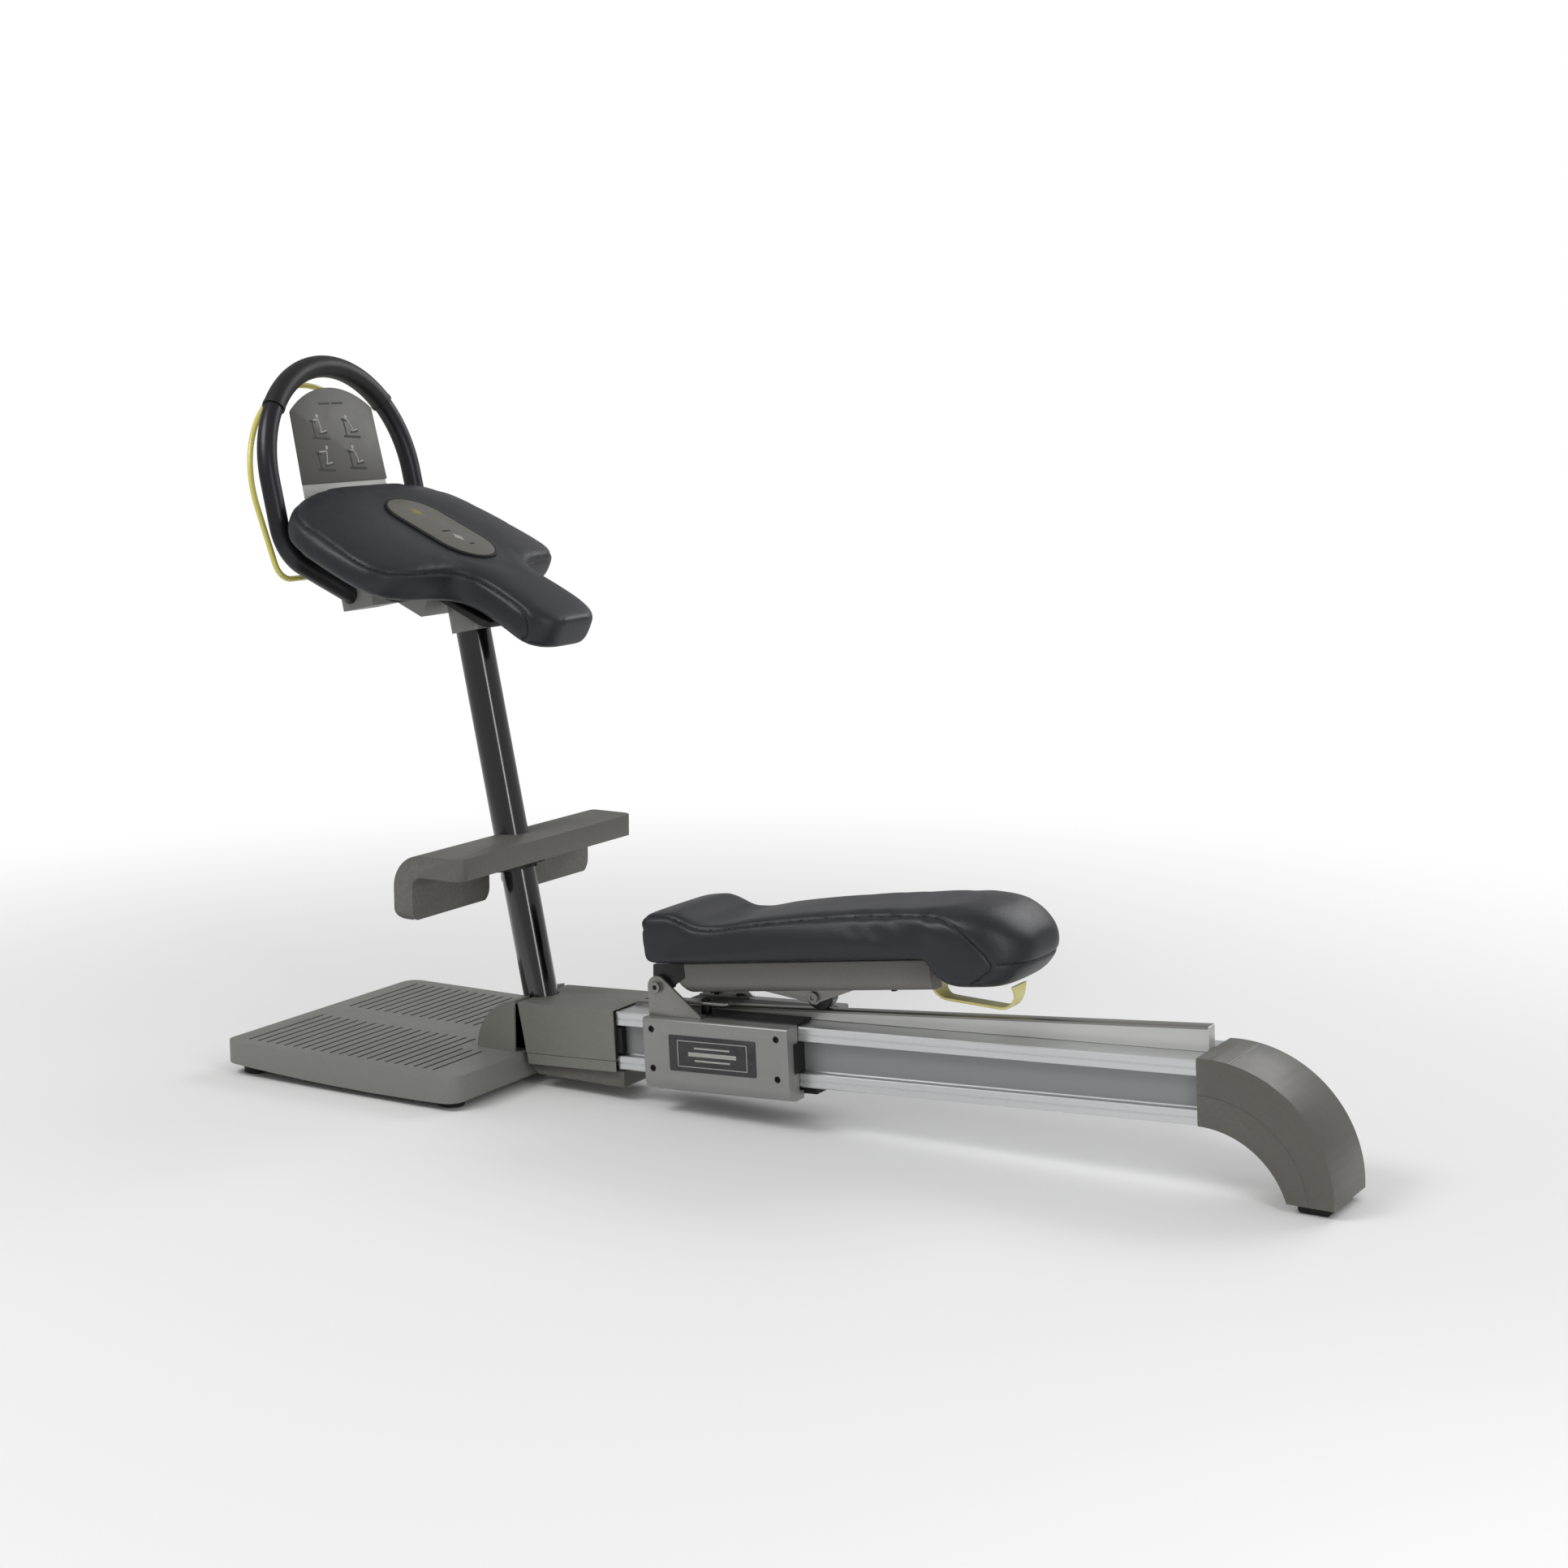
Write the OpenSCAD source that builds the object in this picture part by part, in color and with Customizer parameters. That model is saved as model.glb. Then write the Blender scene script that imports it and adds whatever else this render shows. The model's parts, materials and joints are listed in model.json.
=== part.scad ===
// Kneeling stretch bench: foot platform, leaning column with forearm pad, inclined rail and sliding shin cushion.
// The origin is on the floor, under the middle of the whole object. X runs from the platform to the rear foot.

/* [Platform] */
// Length of the foot platform along X
platform_len = 501; // [460:1:540]
// Width of the foot platform
platform_wid = 536; // [500:2:560]
// Height of the platform's walking surface
platform_top = 60; // [56:1:66]
// Height of the tray's lowest edge, at the middle of its bow
platform_low = 11; // [9:1:16]
// Distance between two neighbouring grip slots
slot_pitch = 20; // [18:1:22]
// Number of full length grip slots on each side
slot_count = 18; // [14:1:18]

/* [Rail] */
// Slope of the rail, rising to the rear
rail_tilt = 3.12; // [2.5:0.01:3.5]
// Length of the rail extrusion
rail_len = 1240; // [1230:1:1245]
// Width of the rail
rail_wid = 136; // [130:1:140]
// Height of the rail
rail_high = 100; // [96:1:104]
// Rise of the ramp for each millimetre along the rail
ramp_rise = 0.0331; // [0.03:0.0001:0.035]

/* [Column and foot bar] */
// Lean of the column towards the platform
column_lean = 11.8; // [10:0.1:13]
// Outer diameter of the column tube
column_dia = 60; // [56:1:62]
// Length of the foot bar across the column
bar_len = 518; // [480:2:540]

/* [Head] */
// Tilt of the arch handle and the placard
arch_tilt = 12.47; // [11:0.01:14]
// Radius of the arch handle's centre line
arch_rad = 194; // [188:1:198]
// Diameter of the arch tube
arch_dia = 34; // [32:1:36]
// Tilt of the forearm pad
pad_tilt = 24; // [20:0.1:27]
// Thickness of the forearm pad
pad_thick = 78; // [74:1:80]

/* [Carriage] */
// Length of the carriage along the rail
carriage_len = 276; // [270:1:280]
// Radius of the guide wheels that run in the rail's grooves
wheel_rad = 25.7; // [25.6:0.1:25.8]
// Radius of the roller that climbs the ramp
roller_rad = 24.7; // [24:0.1:24.8]

/* [Shin cushion] */
// Tilt of the cushion over the floor with the carriage at rest
cushion_tilt = 7.5; // [7:0.1:8]
// Half width of the cushion
cushion_half = 118; // [110:1:122]

/* [Hidden] */
$fn = 48;
eps = 0.01;

// Places along X that the sub-assemblies hang on
platform_x = -966.5;
tray_end_x = platform_x + platform_len;
rail_x = -421;
rail_z = 47.25;
column_x = -476.2;
column_z = 147.2;
housing_end = 150;
arch_x = -877.7;
arch_z = 1000;
pad_x = -690.6;
pad_z = 956.5;

// Platform tray
tray_wall = 5;
tray_skin = 8;
tray_corner = 28;
bow_rad = 4560;
bow_x = -643;
slot_wid = 5;
slot_deep = 3;
slot_x = platform_x + 35.5;
slot_in = 37;
slot_out = 240;
short_slot_in = 100;
foot_spots = [[platform_x + 38, 225], [tray_end_x - 38, 225]];
platform_foot_rad = 22;

// Head; the column is drawn long and trimmed under the pad's board
column_long = 830;
board_thick = 12;
placard_face_out = 3.5;
// Depth of the bracket's floor under the pad's top
head_low = 133;
head_wall = 5;
inlay_half = 61;
inlay_reach = 51;

// Rail section
groove_low = 24;
groove_high = 76;
groove_deep = 16;
rail_half = rail_wid / 2;
ramp_wid = 25;
ramp_start = housing_end + 3;
ramp_end = 1188;
ramp_zero = 5;

// Housing round the front end of the rail
shell_gap = 0.3;
housing_half = 76;
housing_top = rail_high + 4;
housing_seam = 16;

// Rear foot: three arcs about fixed centres
outer_arc = [779, 14, 203];
seam_arc = [773, -12, 172];
inner_arc = [769, -36, 148];
heel_arc = [940, 58, 44];
foot_half = 70;
foot_low = 14;

// Carriage, measured along the rail
carriage_x = 227;
side_out = 103;
side_in = 69.5;
side_low = -20;
side_top = 104;
screw_xs = [carriage_x + 16, carriage_x + carriage_len - 21.5];
screw_zs = [19, 85];
wheel_xs = [carriage_x + 42, carriage_x + carriage_len - 42];
wheel_z = (groove_low + groove_high) / 2;
wheel_in = 54;
wheel_wid = 13;
axle_rad = 6;
run_gap = 0.05;
top_plate_z = rail_high + 1;

// Cushion hinge and ramp roller, measured along the rail
hinge_x = 248.7;
hinge_z = 153.4;
hinge_rad = 6;
bracket_y = 82;
bracket_thick = 5;
roller_u = 262.7;
roller_w = -31.7;
roller_wid = 22;
gusset_y = 24;
gusset_thick = 5;

// Bail, measured in the plane of the arch
bail_rad = 5;
bail_off = -55;
bail_low = -133;
bail_arc = 178;
bail_centre = 25;
bail_slant = 9.3;
bail_bend = 35;
bail_leg = 101.2;
bail_pin_end = 52;

// Height of the ramp over the rail's top at a place along the rail
function ramp_high(x) = ramp_rise * (x - ramp_zero);

// Half widths of the forearm pad against the distance along it
pad_plan = [[-165, 60], [-161, 110], [-150, 175], [-132, 218], [-106, 244], [-70, 258], [-20, 266], [40, 268],
            [78, 264], [104, 248], [120, 220], [129, 182], [136, 142], [147, 112], [166, 93], [195, 86], [240, 88],
            [280, 91], [304, 87], [323, 75], [336, 54], [342, 32]];
// Drop of the pad's tongue below the plane of its front half, and of its wings below its middle
pad_bend = 0.0006;
pad_crown = 0.0002;
function pad_drop(u) = pad_bend * pow(max(u - 200, 0), 2);
// Depth of the pad's underside, which rises at the nose and at the tongue's end
pad_nose = 20;
pad_tail = 22;
function pad_deep(u) = pad_thick - pad_nose * pow(max(-100 - u, 0) / 50, 1.2) - pad_tail * pow(max(u - 285, 0) / 57, 2);

// Outline of the shin cushion: distance from the hinge, top height, bottom height, share of the half width
cushion_rows = [[-8, 118, 44, 0.94], [0, 127, 37, 0.985], [20, 128, 36, 1], [46, 127, 36, 1], [68, 118, 36, 1],
                [98, 105, 36, 1], [128, 103, 36, 1], [186, 108, 36, 1], [300, 115, 36, 1], [410, 118, 36, 1],
                [510, 118, 36, 1], [530, 118, 4, 1], [552, 119, -12, 1], [585, 118, -17, 0.99],
                [612, 114, -19, 0.95], [638, 102, -13, 0.85], [658, 86, 1, 0.7], [672, 70, 18, 0.5],
                [680, 52, 38, 0.28]];

// ---------- frames ----------

// Along the rail: X on its bottom centre line, Z square to it
module on_rail() {
  translate([rail_x, 0, rail_z]) rotate([0, -rail_tilt, 0]) children();
}

// In the plane of the arch: Y across, Z up the plane
module in_arch() {
  translate([arch_x, 0, arch_z]) rotate([0, -arch_tilt, 0]) children();
}

// On the forearm pad: X down its slope, Z square to its top
module on_pad() {
  translate([pad_x, 0, pad_z]) rotate([0, pad_tilt, 0]) children();
}

// On the cushion: origin on the hinge line, X along the cushion
module on_cushion() {
  on_rail() translate([hinge_x, 0, hinge_z]) rotate([0, rail_tilt - cushion_tilt, 0]) children();
}

// Along the column's axis, from where it leaves the housing
module on_column() {
  translate([column_x, 0, column_z]) rotate([0, -column_lean, 0]) children();
}

// ---------- shared shapes ----------

// A rectangle with true round corners
module round_plan(x0, x1, half, r) {
  translate([x0 + r, -half]) square([x1 - x0 - 2 * r, 2 * half]);
  translate([x0, -half + r]) square([x1 - x0, 2 * half - 2 * r]);
  for (x = [x0 + r, x1 - r], y = [-half + r, half - r]) translate([x, y]) circle(r);
}

// A cylinder along Y between two places
module y_rod(x, z, r, y0, y1) {
  translate([x, y0, z]) rotate([-90, 0, 0]) cylinder(h = y1 - y0, r = r);
}

// A profile drawn in X and Z, and pulled along Y
module y_pull(y0, y1) {
  translate([0, y1, 0]) rotate([90, 0, 0]) linear_extrude(y1 - y0) children();
}

// Places along a bend in the arch plane; angles are measured from up, towards +Y
function bend_path(y, z, bend, from, sweep, steps) =
  [for (i = [0 : steps]) let (a = from + sweep * i / steps) [y + bend * sin(a), z + bend * cos(a)]];

// A round tube along places in the arch plane
module swept_tube(path, r, sides) {
  last = len(path) - 1;
  rings = [for (i = [0 : last])
    let (ahead = path[min(i + 1, last)] - path[max(i - 1, 0)], side = [-ahead[1], ahead[0]] / norm(ahead))
    [for (k = [0 : sides - 1]) let (a = 360 * (k + 0.5) / sides)
      [r * sin(a), path[i][0] + side[0] * r * cos(a), path[i][1] + side[1] * r * cos(a)]]];
  points = [for (ring = rings) each ring];
  walls = [for (i = [0 : last - 1]) for (k = [0 : sides - 1])
    let (a = i * sides + k, b = i * sides + (k + 1) % sides)
    each [[a, b + sides, b], [a, a + sides, b + sides]]];
  caps = [for (k = [1 : sides - 2]) each [[0, k, k + 1], [last * sides, last * sides + k + 1, last * sides + k]]];
  polyhedron(points, concat(walls, caps), convexity = 8);
}

// A bend of round rod in the arch plane; angles are measured from up, towards +Y
module plane_bend(y, z, bend, r, from, sweep) {
  translate([0, y, z]) rotate([0, -90, 0]) rotate([0, 0, from])
    rotate_extrude(angle = sweep, $fn = 96) translate([bend, 0]) circle(r, $fn = 48);
}

// One ring of a soft body: a boxy oval at distance u, between two heights
ring_n = 24;
function oval(a, power) = sign(a) * pow(abs(a), power);
function ring(u, half, low, high, power, crown = 0) =
  [for (i = [0 : ring_n - 1])
    let (a = 360 * (i + 0.5) / ring_n, y = half * oval(cos(a), power))
    [u, y, (low + high) / 2 + (high - low) / 2 * oval(sin(a), power) - crown * y * y]];

// A closed soft body through rings given one after another
module soft_body(rings) {
  rows = len(rings);
  points = [for (r = rings) for (p = r) p];
  sides = [for (j = [0 : rows - 2]) for (i = [0 : ring_n - 1])
            [j * ring_n + i, j * ring_n + (i + 1) % ring_n,
             (j + 1) * ring_n + (i + 1) % ring_n, (j + 1) * ring_n + i]];
  tris = [for (q = sides) each [[q[0], q[2], q[1]], [q[0], q[3], q[2]]]];
  first = [for (i = [1 : ring_n - 2]) [0, i, i + 1]];
  base = (rows - 1) * ring_n;
  last = [for (i = [1 : ring_n - 2]) [base, base + i + 1, base + i]];
  polyhedron(points, concat(tris, first, last), convexity = 6);
}

// A countersunk-looking cap screw standing along -Z from the origin
module cap_screw(head_r, head_h, shank_r, shank_l) {
  difference() {
    cylinder(h = head_h, r = head_r);
    translate([0, 0, head_h * 0.45]) cylinder(h = head_h, r = head_r * 0.5, $fn = 6);
  }
  translate([0, 0, -shank_l]) cylinder(h = shank_l + eps, r = shank_r);
}

// ---------- platform ----------

module tray_outline(grow) {
  round_plan(platform_x - grow, tray_end_x + grow, platform_wid / 2 + grow, tray_corner + grow);
}

module slot_places() {
  for (k = [0 : slot_count - 1], side = [-1, 1])
    translate([slot_x + k * slot_pitch, side * (slot_in + slot_out) / 2, platform_top])
      children(0);
  for (k = [0 : 2], side = [-1, 1])
    translate([slot_x + (slot_count + k) * slot_pitch, side * (short_slot_in + slot_out) / 2, platform_top])
      children(1);
}

module slot_block(wide, long, deep, sink) {
  translate([-wide / 2, -long / 2, -deep]) cube([wide, long, deep - sink]);
}

module platform_tray() color("#8b8c86") {
  difference() {
    intersection() {
      linear_extrude(platform_top) tray_outline(0);
      translate([bow_x, 0, platform_low + bow_rad]) rotate([90, 0, 0])
        cylinder(h = platform_wid + 10, r = bow_rad, center = true, $fn = 720);
    }
    difference() {
      translate([0, 0, -1]) linear_extrude(platform_top - tray_skin + 1) tray_outline(-tray_wall);
      for (s = foot_spots, y = [-1, 1])
        translate([s[0], y * s[1], 20]) cylinder(h = platform_top - 20, r = platform_foot_rad + 3);
    }
    beam_tongue(shell_gap);
    slot_places() {
      slot_block(slot_wid, slot_out - slot_in, slot_deep, -1);
      slot_block(slot_wid, slot_out - short_slot_in, slot_deep, -1);
    }
  }
}

module grip_strips() color("#141414") {
  slot_places() {
    slot_block(slot_wid, slot_out - slot_in, slot_deep, 0.8);
    slot_block(slot_wid, slot_out - short_slot_in, slot_deep, 0.8);
  }
}

module platform_feet() color("#1b1b1b")
  for (s = foot_spots, y = [-1, 1]) translate([s[0], y * s[1], 0]) {
    cylinder(h = 20, r = platform_foot_rad);
  }

// A steel frame under the skin: two cross tubes and a spine to the column socket
module platform_beam() color("#2c2c2e") {
  under = platform_top - tray_skin;
  for (x = [platform_x + 90, platform_x + 330])
    translate([x, -platform_wid / 2 + 40, under - 25]) cube([40, platform_wid - 80, 25]);
  difference() {
    translate([platform_x + 130, -30, under - 25]) cube([platform_len - 130 - tray_wall - shell_gap, 60, 25]);
    translate([platform_x + 330, -40, under - 26]) cube([40, 80, 27]);
  }
  beam_tongue(0);
}

// The spine's end, which passes through the tray's wall under the housing
module beam_tongue(grow) {
  translate([tray_end_x - 8 - grow, -30 - grow, platform_low + 16 - grow]) cube([25.5, 60 + 2 * grow, 14 + 2 * grow]);
}

// ---------- housing ----------

// The slanted cut that the cover and the nose share, parallel to the column
module seam_side(front) {
  on_column() translate([front ? -300 : 3.2, -200, -200]) cube([303, 400, 400]);
}

module housing_cover() color("#83847d")
  difference() {
    on_rail() difference() {
      translate([-80, -housing_half, housing_seam]) cube([housing_end + 80, 2 * housing_half, housing_top - housing_seam]);
      translate([-80 - eps, -housing_half + 4, -10])
        cube([housing_end + 80 + 2 * eps, 2 * housing_half - 8, rail_high + shell_gap + 10]);
    }
    seam_side(true);
    on_column() cylinder(h = 200, r = column_dia / 2 + 0.6, center = true);
  }

module housing_lower() color("#7c7d76")
  difference() {
    on_rail() difference() {
      translate([-80, -housing_half + 0.8, -3]) cube([housing_end + 80, 2 * housing_half - 1.6, housing_seam + 3 - 0.4]);
      translate([-80 - eps, -housing_half + 5, -shell_gap])
        cube([housing_end + 80 + 2 * eps, 2 * housing_half - 10, 60]);
    }
    seam_side(true);
    translate([tray_end_x - 60, -100, 0]) cube([60.4, 200, platform_top + 20]);
  }

// The rounded nose that carries the housing's sides down to the platform
module nose_profile(shrink) {
  nose = platform_x + 408.5;
  bend = 91;
  intersection() {
    translate([nose, platform_top]) square([bend - 12, bend + 10]);
    translate([nose + bend, platform_top]) circle(bend - shrink, $fn = 96);
  }
}

module nose_fairing() color("#85867f")
  difference() {
    y_pull(-housing_half, housing_half) nose_profile(0);
    translate([0, 0, -1]) y_pull(-housing_half + 4, housing_half - 4) nose_profile(5);
    on_column() translate([2.6, -200, -200]) cube([303, 400, 400]);
    on_column() cylinder(h = 260, r = column_dia / 2 + 0.6, center = true);
  }

module skid_block() color("#6e6e68")
  difference() {
    y_pull(-65, 65) polygon([[-448, 60], [-448, 34], [-438, 24.5], [-262, 24.5], [-262, 60]]);
    on_rail() translate([-100, -90, -3]) cube([400, 180, 100]);
    y_pull(-57, 57) polygon([[-440, 60], [-440, 40], [-432, 32.5], [-270, 32.5], [-270, 60]]);
  }

// A cast block that holds the column's foot and bolts the platform to the rail
module column_socket() color("#303033")
  difference() {
    union() {
      translate([-518, -44, platform_top]) cube([95, 88, 68]);
      on_rail() translate([-3, -44, 8]) cube([9, 88, 84]);
    }
    on_column() cylinder(h = 300, r = column_dia / 2, center = true);
    on_rail() translate([0, -60, -20]) cube([60, 120, 140]);
  }

// ---------- rail ----------

module rail_section() {
  difference() {
    translate([-rail_half, 0]) square([rail_wid, rail_high]);
    for (side = [-1, 1])
      translate([side > 0 ? rail_half - groove_deep : -rail_half - 1, groove_low])
        square([groove_deep + 1, groove_high - groove_low]);
    translate([-44, 6]) square([88, rail_high - 12]);
    for (side = [-1, 1], z = [5, 81])
      translate([side > 0 ? 48 : -63, z]) square([15, 14]);
  }
}

module rail_extrusion() color("#cfd0d1")
  on_rail() rotate([90, 0, 90]) linear_extrude(rail_len) rail_section();

module ramp_bar() color("#d6d8d4")
  on_rail() y_pull(-ramp_wid / 2, ramp_wid / 2)
    polygon([[ramp_start, rail_high], [ramp_end, rail_high], [ramp_end, rail_high + ramp_high(ramp_end)],
             [ramp_start, rail_high + ramp_high(ramp_start)]]);

// Screws that hold the ramp from inside the rail
module ramp_screws() color("#9a9a9a")
  on_rail() for (x = [220 : 190 : 1170])
    translate([x, 0, rail_high - 6]) mirror([0, 0, 1]) cylinder(h = 4, r = 5);

// Rubber stops in the grooves, one at each end on each side
module rail_buffers() color("#161616")
  on_rail() for (side = [-1, 1], x = [housing_end - 20, rail_len - 50])
    translate([x, side > 0 ? 53 : -67, groove_low + 4]) cube([30, 14, groove_high - groove_low - 8]);

module rail_end_plug() color("#4a4a4c")
  on_rail() translate([rail_len - 62, -44, 6]) cube([60, 88, rail_high - 12]);

// ---------- rear foot ----------

module disc(arc, grow) {
  translate([arc[0], arc[1]]) circle(arc[2] + grow, $fn = 120);
}

// Side view of the whole foot; shrink pulls every face inwards
module foot_profile(shrink) {
  difference() {
    union() {
      difference() {
        intersection() {
          disc(outer_arc, -shrink);
          translate([700, foot_low + shrink]) square([400, 300]);
        }
        disc(inner_arc, shrink);
      }
      intersection() {
        disc(heel_arc, -shrink);
        translate([800, 0]) square([158 - shrink, 200]);
      }
    }
    translate([600, -100]) square([161 + shrink, 400]);
    translate([700, -100]) square([180, 130]);
  }
}

module foot_solid(shrink, half) {
  y_pull(-half, half) foot_profile(shrink);
}

module foot_cavity() {
  foot_solid(6, foot_half - 6);
  on_rail() translate([1150, -foot_half + 6, 3]) cube([62, 2 * foot_half - 12, rail_high - 6]);
}

module rail_seat() {
  on_rail() translate([1100, -rail_half - 0.3, -0.3]) cube([rail_len - 1100 + 0.3, rail_wid + 0.6, rail_high + 0.6]);
}

module face_cut() {
  on_rail() translate([1000, -200, -200]) cube([188.9, 400, 500]);
}

module rear_foot_upper() color("#55544e")
  difference() {
    foot_solid(0, foot_half);
    y_pull(-200, 200) disc(seam_arc, 0.2);
    foot_cavity();
    rail_seat();
    face_cut();
  }

module rear_foot_lower() color("#4b4a45")
  difference() {
    intersection() {
      foot_solid(0, foot_half - 0.6);
      y_pull(-200, 200) disc(seam_arc, -0.2);
    }
    foot_cavity();
    rail_seat();
    face_cut();
  }

module rear_foot_pad() color("#121212")
  y_pull(-56, 56) difference() {
    polygon([[925, 0], [968, 0], [972, 4], [972, 20], [921, 20], [921, 4]]);
    foot_profile(0);
  }

// ---------- column ----------

module column_tube() color("#0d0d0e")
  difference() {
    on_column() difference() {
      translate([0, 0, -84]) cylinder(h = column_long, r = column_dia / 2);
      translate([0, 0, -85]) cylinder(h = column_long + 2, r = column_dia / 2 - 3);
    }
    translate([-600, -100, 0]) cube([300, 200, platform_top + 2]);
    over_board();
  }

// Side view of the foot bar: a plank that rolls over into a hanging flange
module bar_profile() {
  top = 428;
  thick = 37;
  rear = -451;
  front = -589;
  roll = 58;
  low = 332;
  tip = 19;
  difference() {
    union() {
      translate([front + roll, top - thick]) square([rear - front - roll, thick]);
      translate([front + roll, top - roll]) circle(roll);
      translate([front, low]) square([2 * tip, top - roll - low]);
      translate([front + tip, low]) circle(tip);
    }
    translate([front + 2 * tip, low - tip - 1]) square([200, top - thick - 21 - low + tip + 1]);
    translate([front + 2 * tip + 20, low - tip - 1]) square([200, top - thick - low + tip + 1]);
    translate([front + 2 * tip + 20, top - thick - 20]) circle(20);
  }
}

module foot_bar() color("#6b6a64")
  difference() {
    intersection() {
      y_pull(-bar_len / 2, bar_len / 2) bar_profile();
      linear_extrude(600) round_plan(-700, -451, bar_len / 2, 22);
      union() {
        translate([-700, -bar_len / 2, 372]) cube([400, bar_len, 100]);
        for (side = [-1, 1])
          rotate([90, 0, 90]) translate([0, 0, -700]) linear_extrude(400)
            translate([side > 0 ? 43 : -bar_len / 2, 0]) flange_front();
      }
    }
    on_column() translate([0, 0, 100]) cylinder(h = 400, r = column_dia / 2 + 0.2);
  }

// Front view of one hanging flange, with round lower corners
module flange_front() {
  wide = bar_len / 2 - 43;
  low = 313;
  r = 24;
  translate([r, low]) square([wide - 2 * r, 90]);
  translate([0, low + r]) square([wide, 90 - r]);
  for (y = [r, wide - r]) translate([y, low + r]) circle(r);
}

// A split collar under the plank, with its two screws
module foot_bar_collar() color("#1a1a1c")
  difference() {
    on_column() {
      difference() {
        translate([0, 0, 222]) cylinder(h = 24, r = column_dia / 2 + 9);
        translate([0, 0, 200]) cylinder(h = 80, r = column_dia / 2);
        translate([0, -2, 200]) cube([60, 4, 80]);
      }
      for (y = [-1, 1]) translate([34, y * 9 - 6, 228]) cube([16, 12, 12]);
    }
    translate([-700, -100, 390.8]) cube([300, 200, 100]);
    translate([-700, -100, 370.7]) cube([169.3, 200, 100]);
  }

// ---------- head ----------

module head_bracket() color("#b9bab8")
  difference() {
    union() {
      // Wedge box that follows the underside of the pad
      intersection() {
        on_pad() translate([-175, -70, -head_low]) cube([262, 140, head_low - pad_thick - board_thick]);
        in_arch() translate([1.8, -100, -250]) cube([400, 200, 300]);
      }
      // Collar round the column's top
      on_column() translate([0, 0, 640]) cylinder(h = 102, r = column_dia / 2 + 7);
      // Saddle for the arch tube
      in_arch() translate([-20, -46, -204]) cube([60, 92, 42]);
      in_arch() translate([1.8, -46, -204]) cube([46, 92, 100]);
    }
    on_pad() translate([-160, -64, head_wall - head_low])
      cube([170, 128, head_low - pad_thick - board_thick - 2 * head_wall]);
    on_column() translate([0, 0, 600]) cylinder(h = 200, r = column_dia / 2);
    for (side = [-1, 1])
      in_arch() translate([0, side * leg_end_y, leg_end_z]) rotate([-side * 62, 0, 0])
        cylinder(h = 200, r = arch_dia / 2);
    over_board();
  }

// Everything over the level that the pad's board lies on
module over_board() {
  on_pad() translate([-300, -300, -pad_thick - board_thick]) cube([900, 600, 300]);
}

module board_solid(grow) {
  on_pad() translate([0, 0, -pad_thick - board_thick - grow]) linear_extrude(board_thick + 2 * grow) {
    round_plan(-130 - grow, 215 + grow, 72 + grow, 20);
    round_plan(-110 - grow, 100 + grow, 190 + grow, 30);
  }
}

module pad_board() color("#2a2a2a") board_solid(0);

// The stuffed pad, with pockets for the board and the inlay, and its nose flat against the placard
module arm_pad() color("#2a2d33")
  difference() {
    on_pad() soft_body([for (p = pad_plan)
      ring(p[0], p[1], -pad_deep(p[0]) - pad_drop(p[0]) + shell_gap, -pad_drop(p[0]), 0.42, pad_crown)]);
    board_solid(shell_gap);
    inlay_solid(20, shell_gap);
    in_arch() translate([-80, -160, -150]) cube([80 + placard_face_out + 1, 320, 250]);
  }

// A thin oval plate let into the pad's top
module inlay_solid(high, grow) {
  half = inlay_half + grow;
  on_pad() translate([20, 0, -6 - grow]) linear_extrude(high) {
    translate([-inlay_reach, -half]) square([2 * inlay_reach, 2 * half]);
    for (x = [-inlay_reach, inlay_reach]) translate([x, 0]) circle(half);
  }
}

module pad_inlay() color("#6f6e66") inlay_solid(7.5, 0);

// The arch in one bend: two legs, two knees and the half circle, down to the bracket
arch_rise = 31;
arch_knee = 80;
arch_turn = 62;
leg_end_y = 34;
leg_end_z = -180;
arch_path = concat([[-leg_end_y, leg_end_z]],
                   bend_path(-arch_rad + arch_knee, -47, arch_knee, -90 - arch_turn, arch_turn, 8),
                   bend_path(0, arch_rise, arch_rad, -90, 180, 30),
                   bend_path(arch_rad - arch_knee, -47, arch_knee, 90, arch_turn, 8),
                   [[leg_end_y, leg_end_z]]);

module arch_tube() color("#3b3b3e")
  in_arch() swept_tube(arch_path, arch_dia / 2, 32);

// The rubber sleeve over the top of the arch
module arch_grip() color("#1c1c1d")
  in_arch() difference() {
    plane_bend(0, 31, arch_rad, arch_dia / 2 + 2, -49, 98);
    plane_bend(0, 31, arch_rad, arch_dia / 2, -60, 120);
  }

// Outline of the placard: straight flanks under a shallow arc, on a narrow neck
module placard_outline(low, side, top) {
  crown = 179;
  intersection() {
    translate([0, top - crown]) circle(crown, $fn = 120);
    polygon([[-side - 3.5, low], [side + 3.5, low], [side - 3.5, top + 1], [-side + 3.5, top + 1]]);
  }
}

module placard_back() color("#c9cac6")
  in_arch() translate([-1.5, 0, 0]) rotate([90, 0, 90]) linear_extrude(3) {
    placard_outline(-40, 111, 184);
    translate([-28, -140]) square([56, 101]);
  }

module placard_face() color("#5b5a56")
  in_arch() translate([1.5, 0, 0]) rotate([90, 0, 90]) linear_extrude(2)
    placard_outline(20, 113, 187);

module placard_screws() color("#8d8d8d")
  in_arch() for (y = [-14, 14])
    translate([-1.5, y, -128]) rotate([0, -90, 0]) cap_screw(5, 3.5, 2.5, 0);

// ---------- bail ----------

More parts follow.
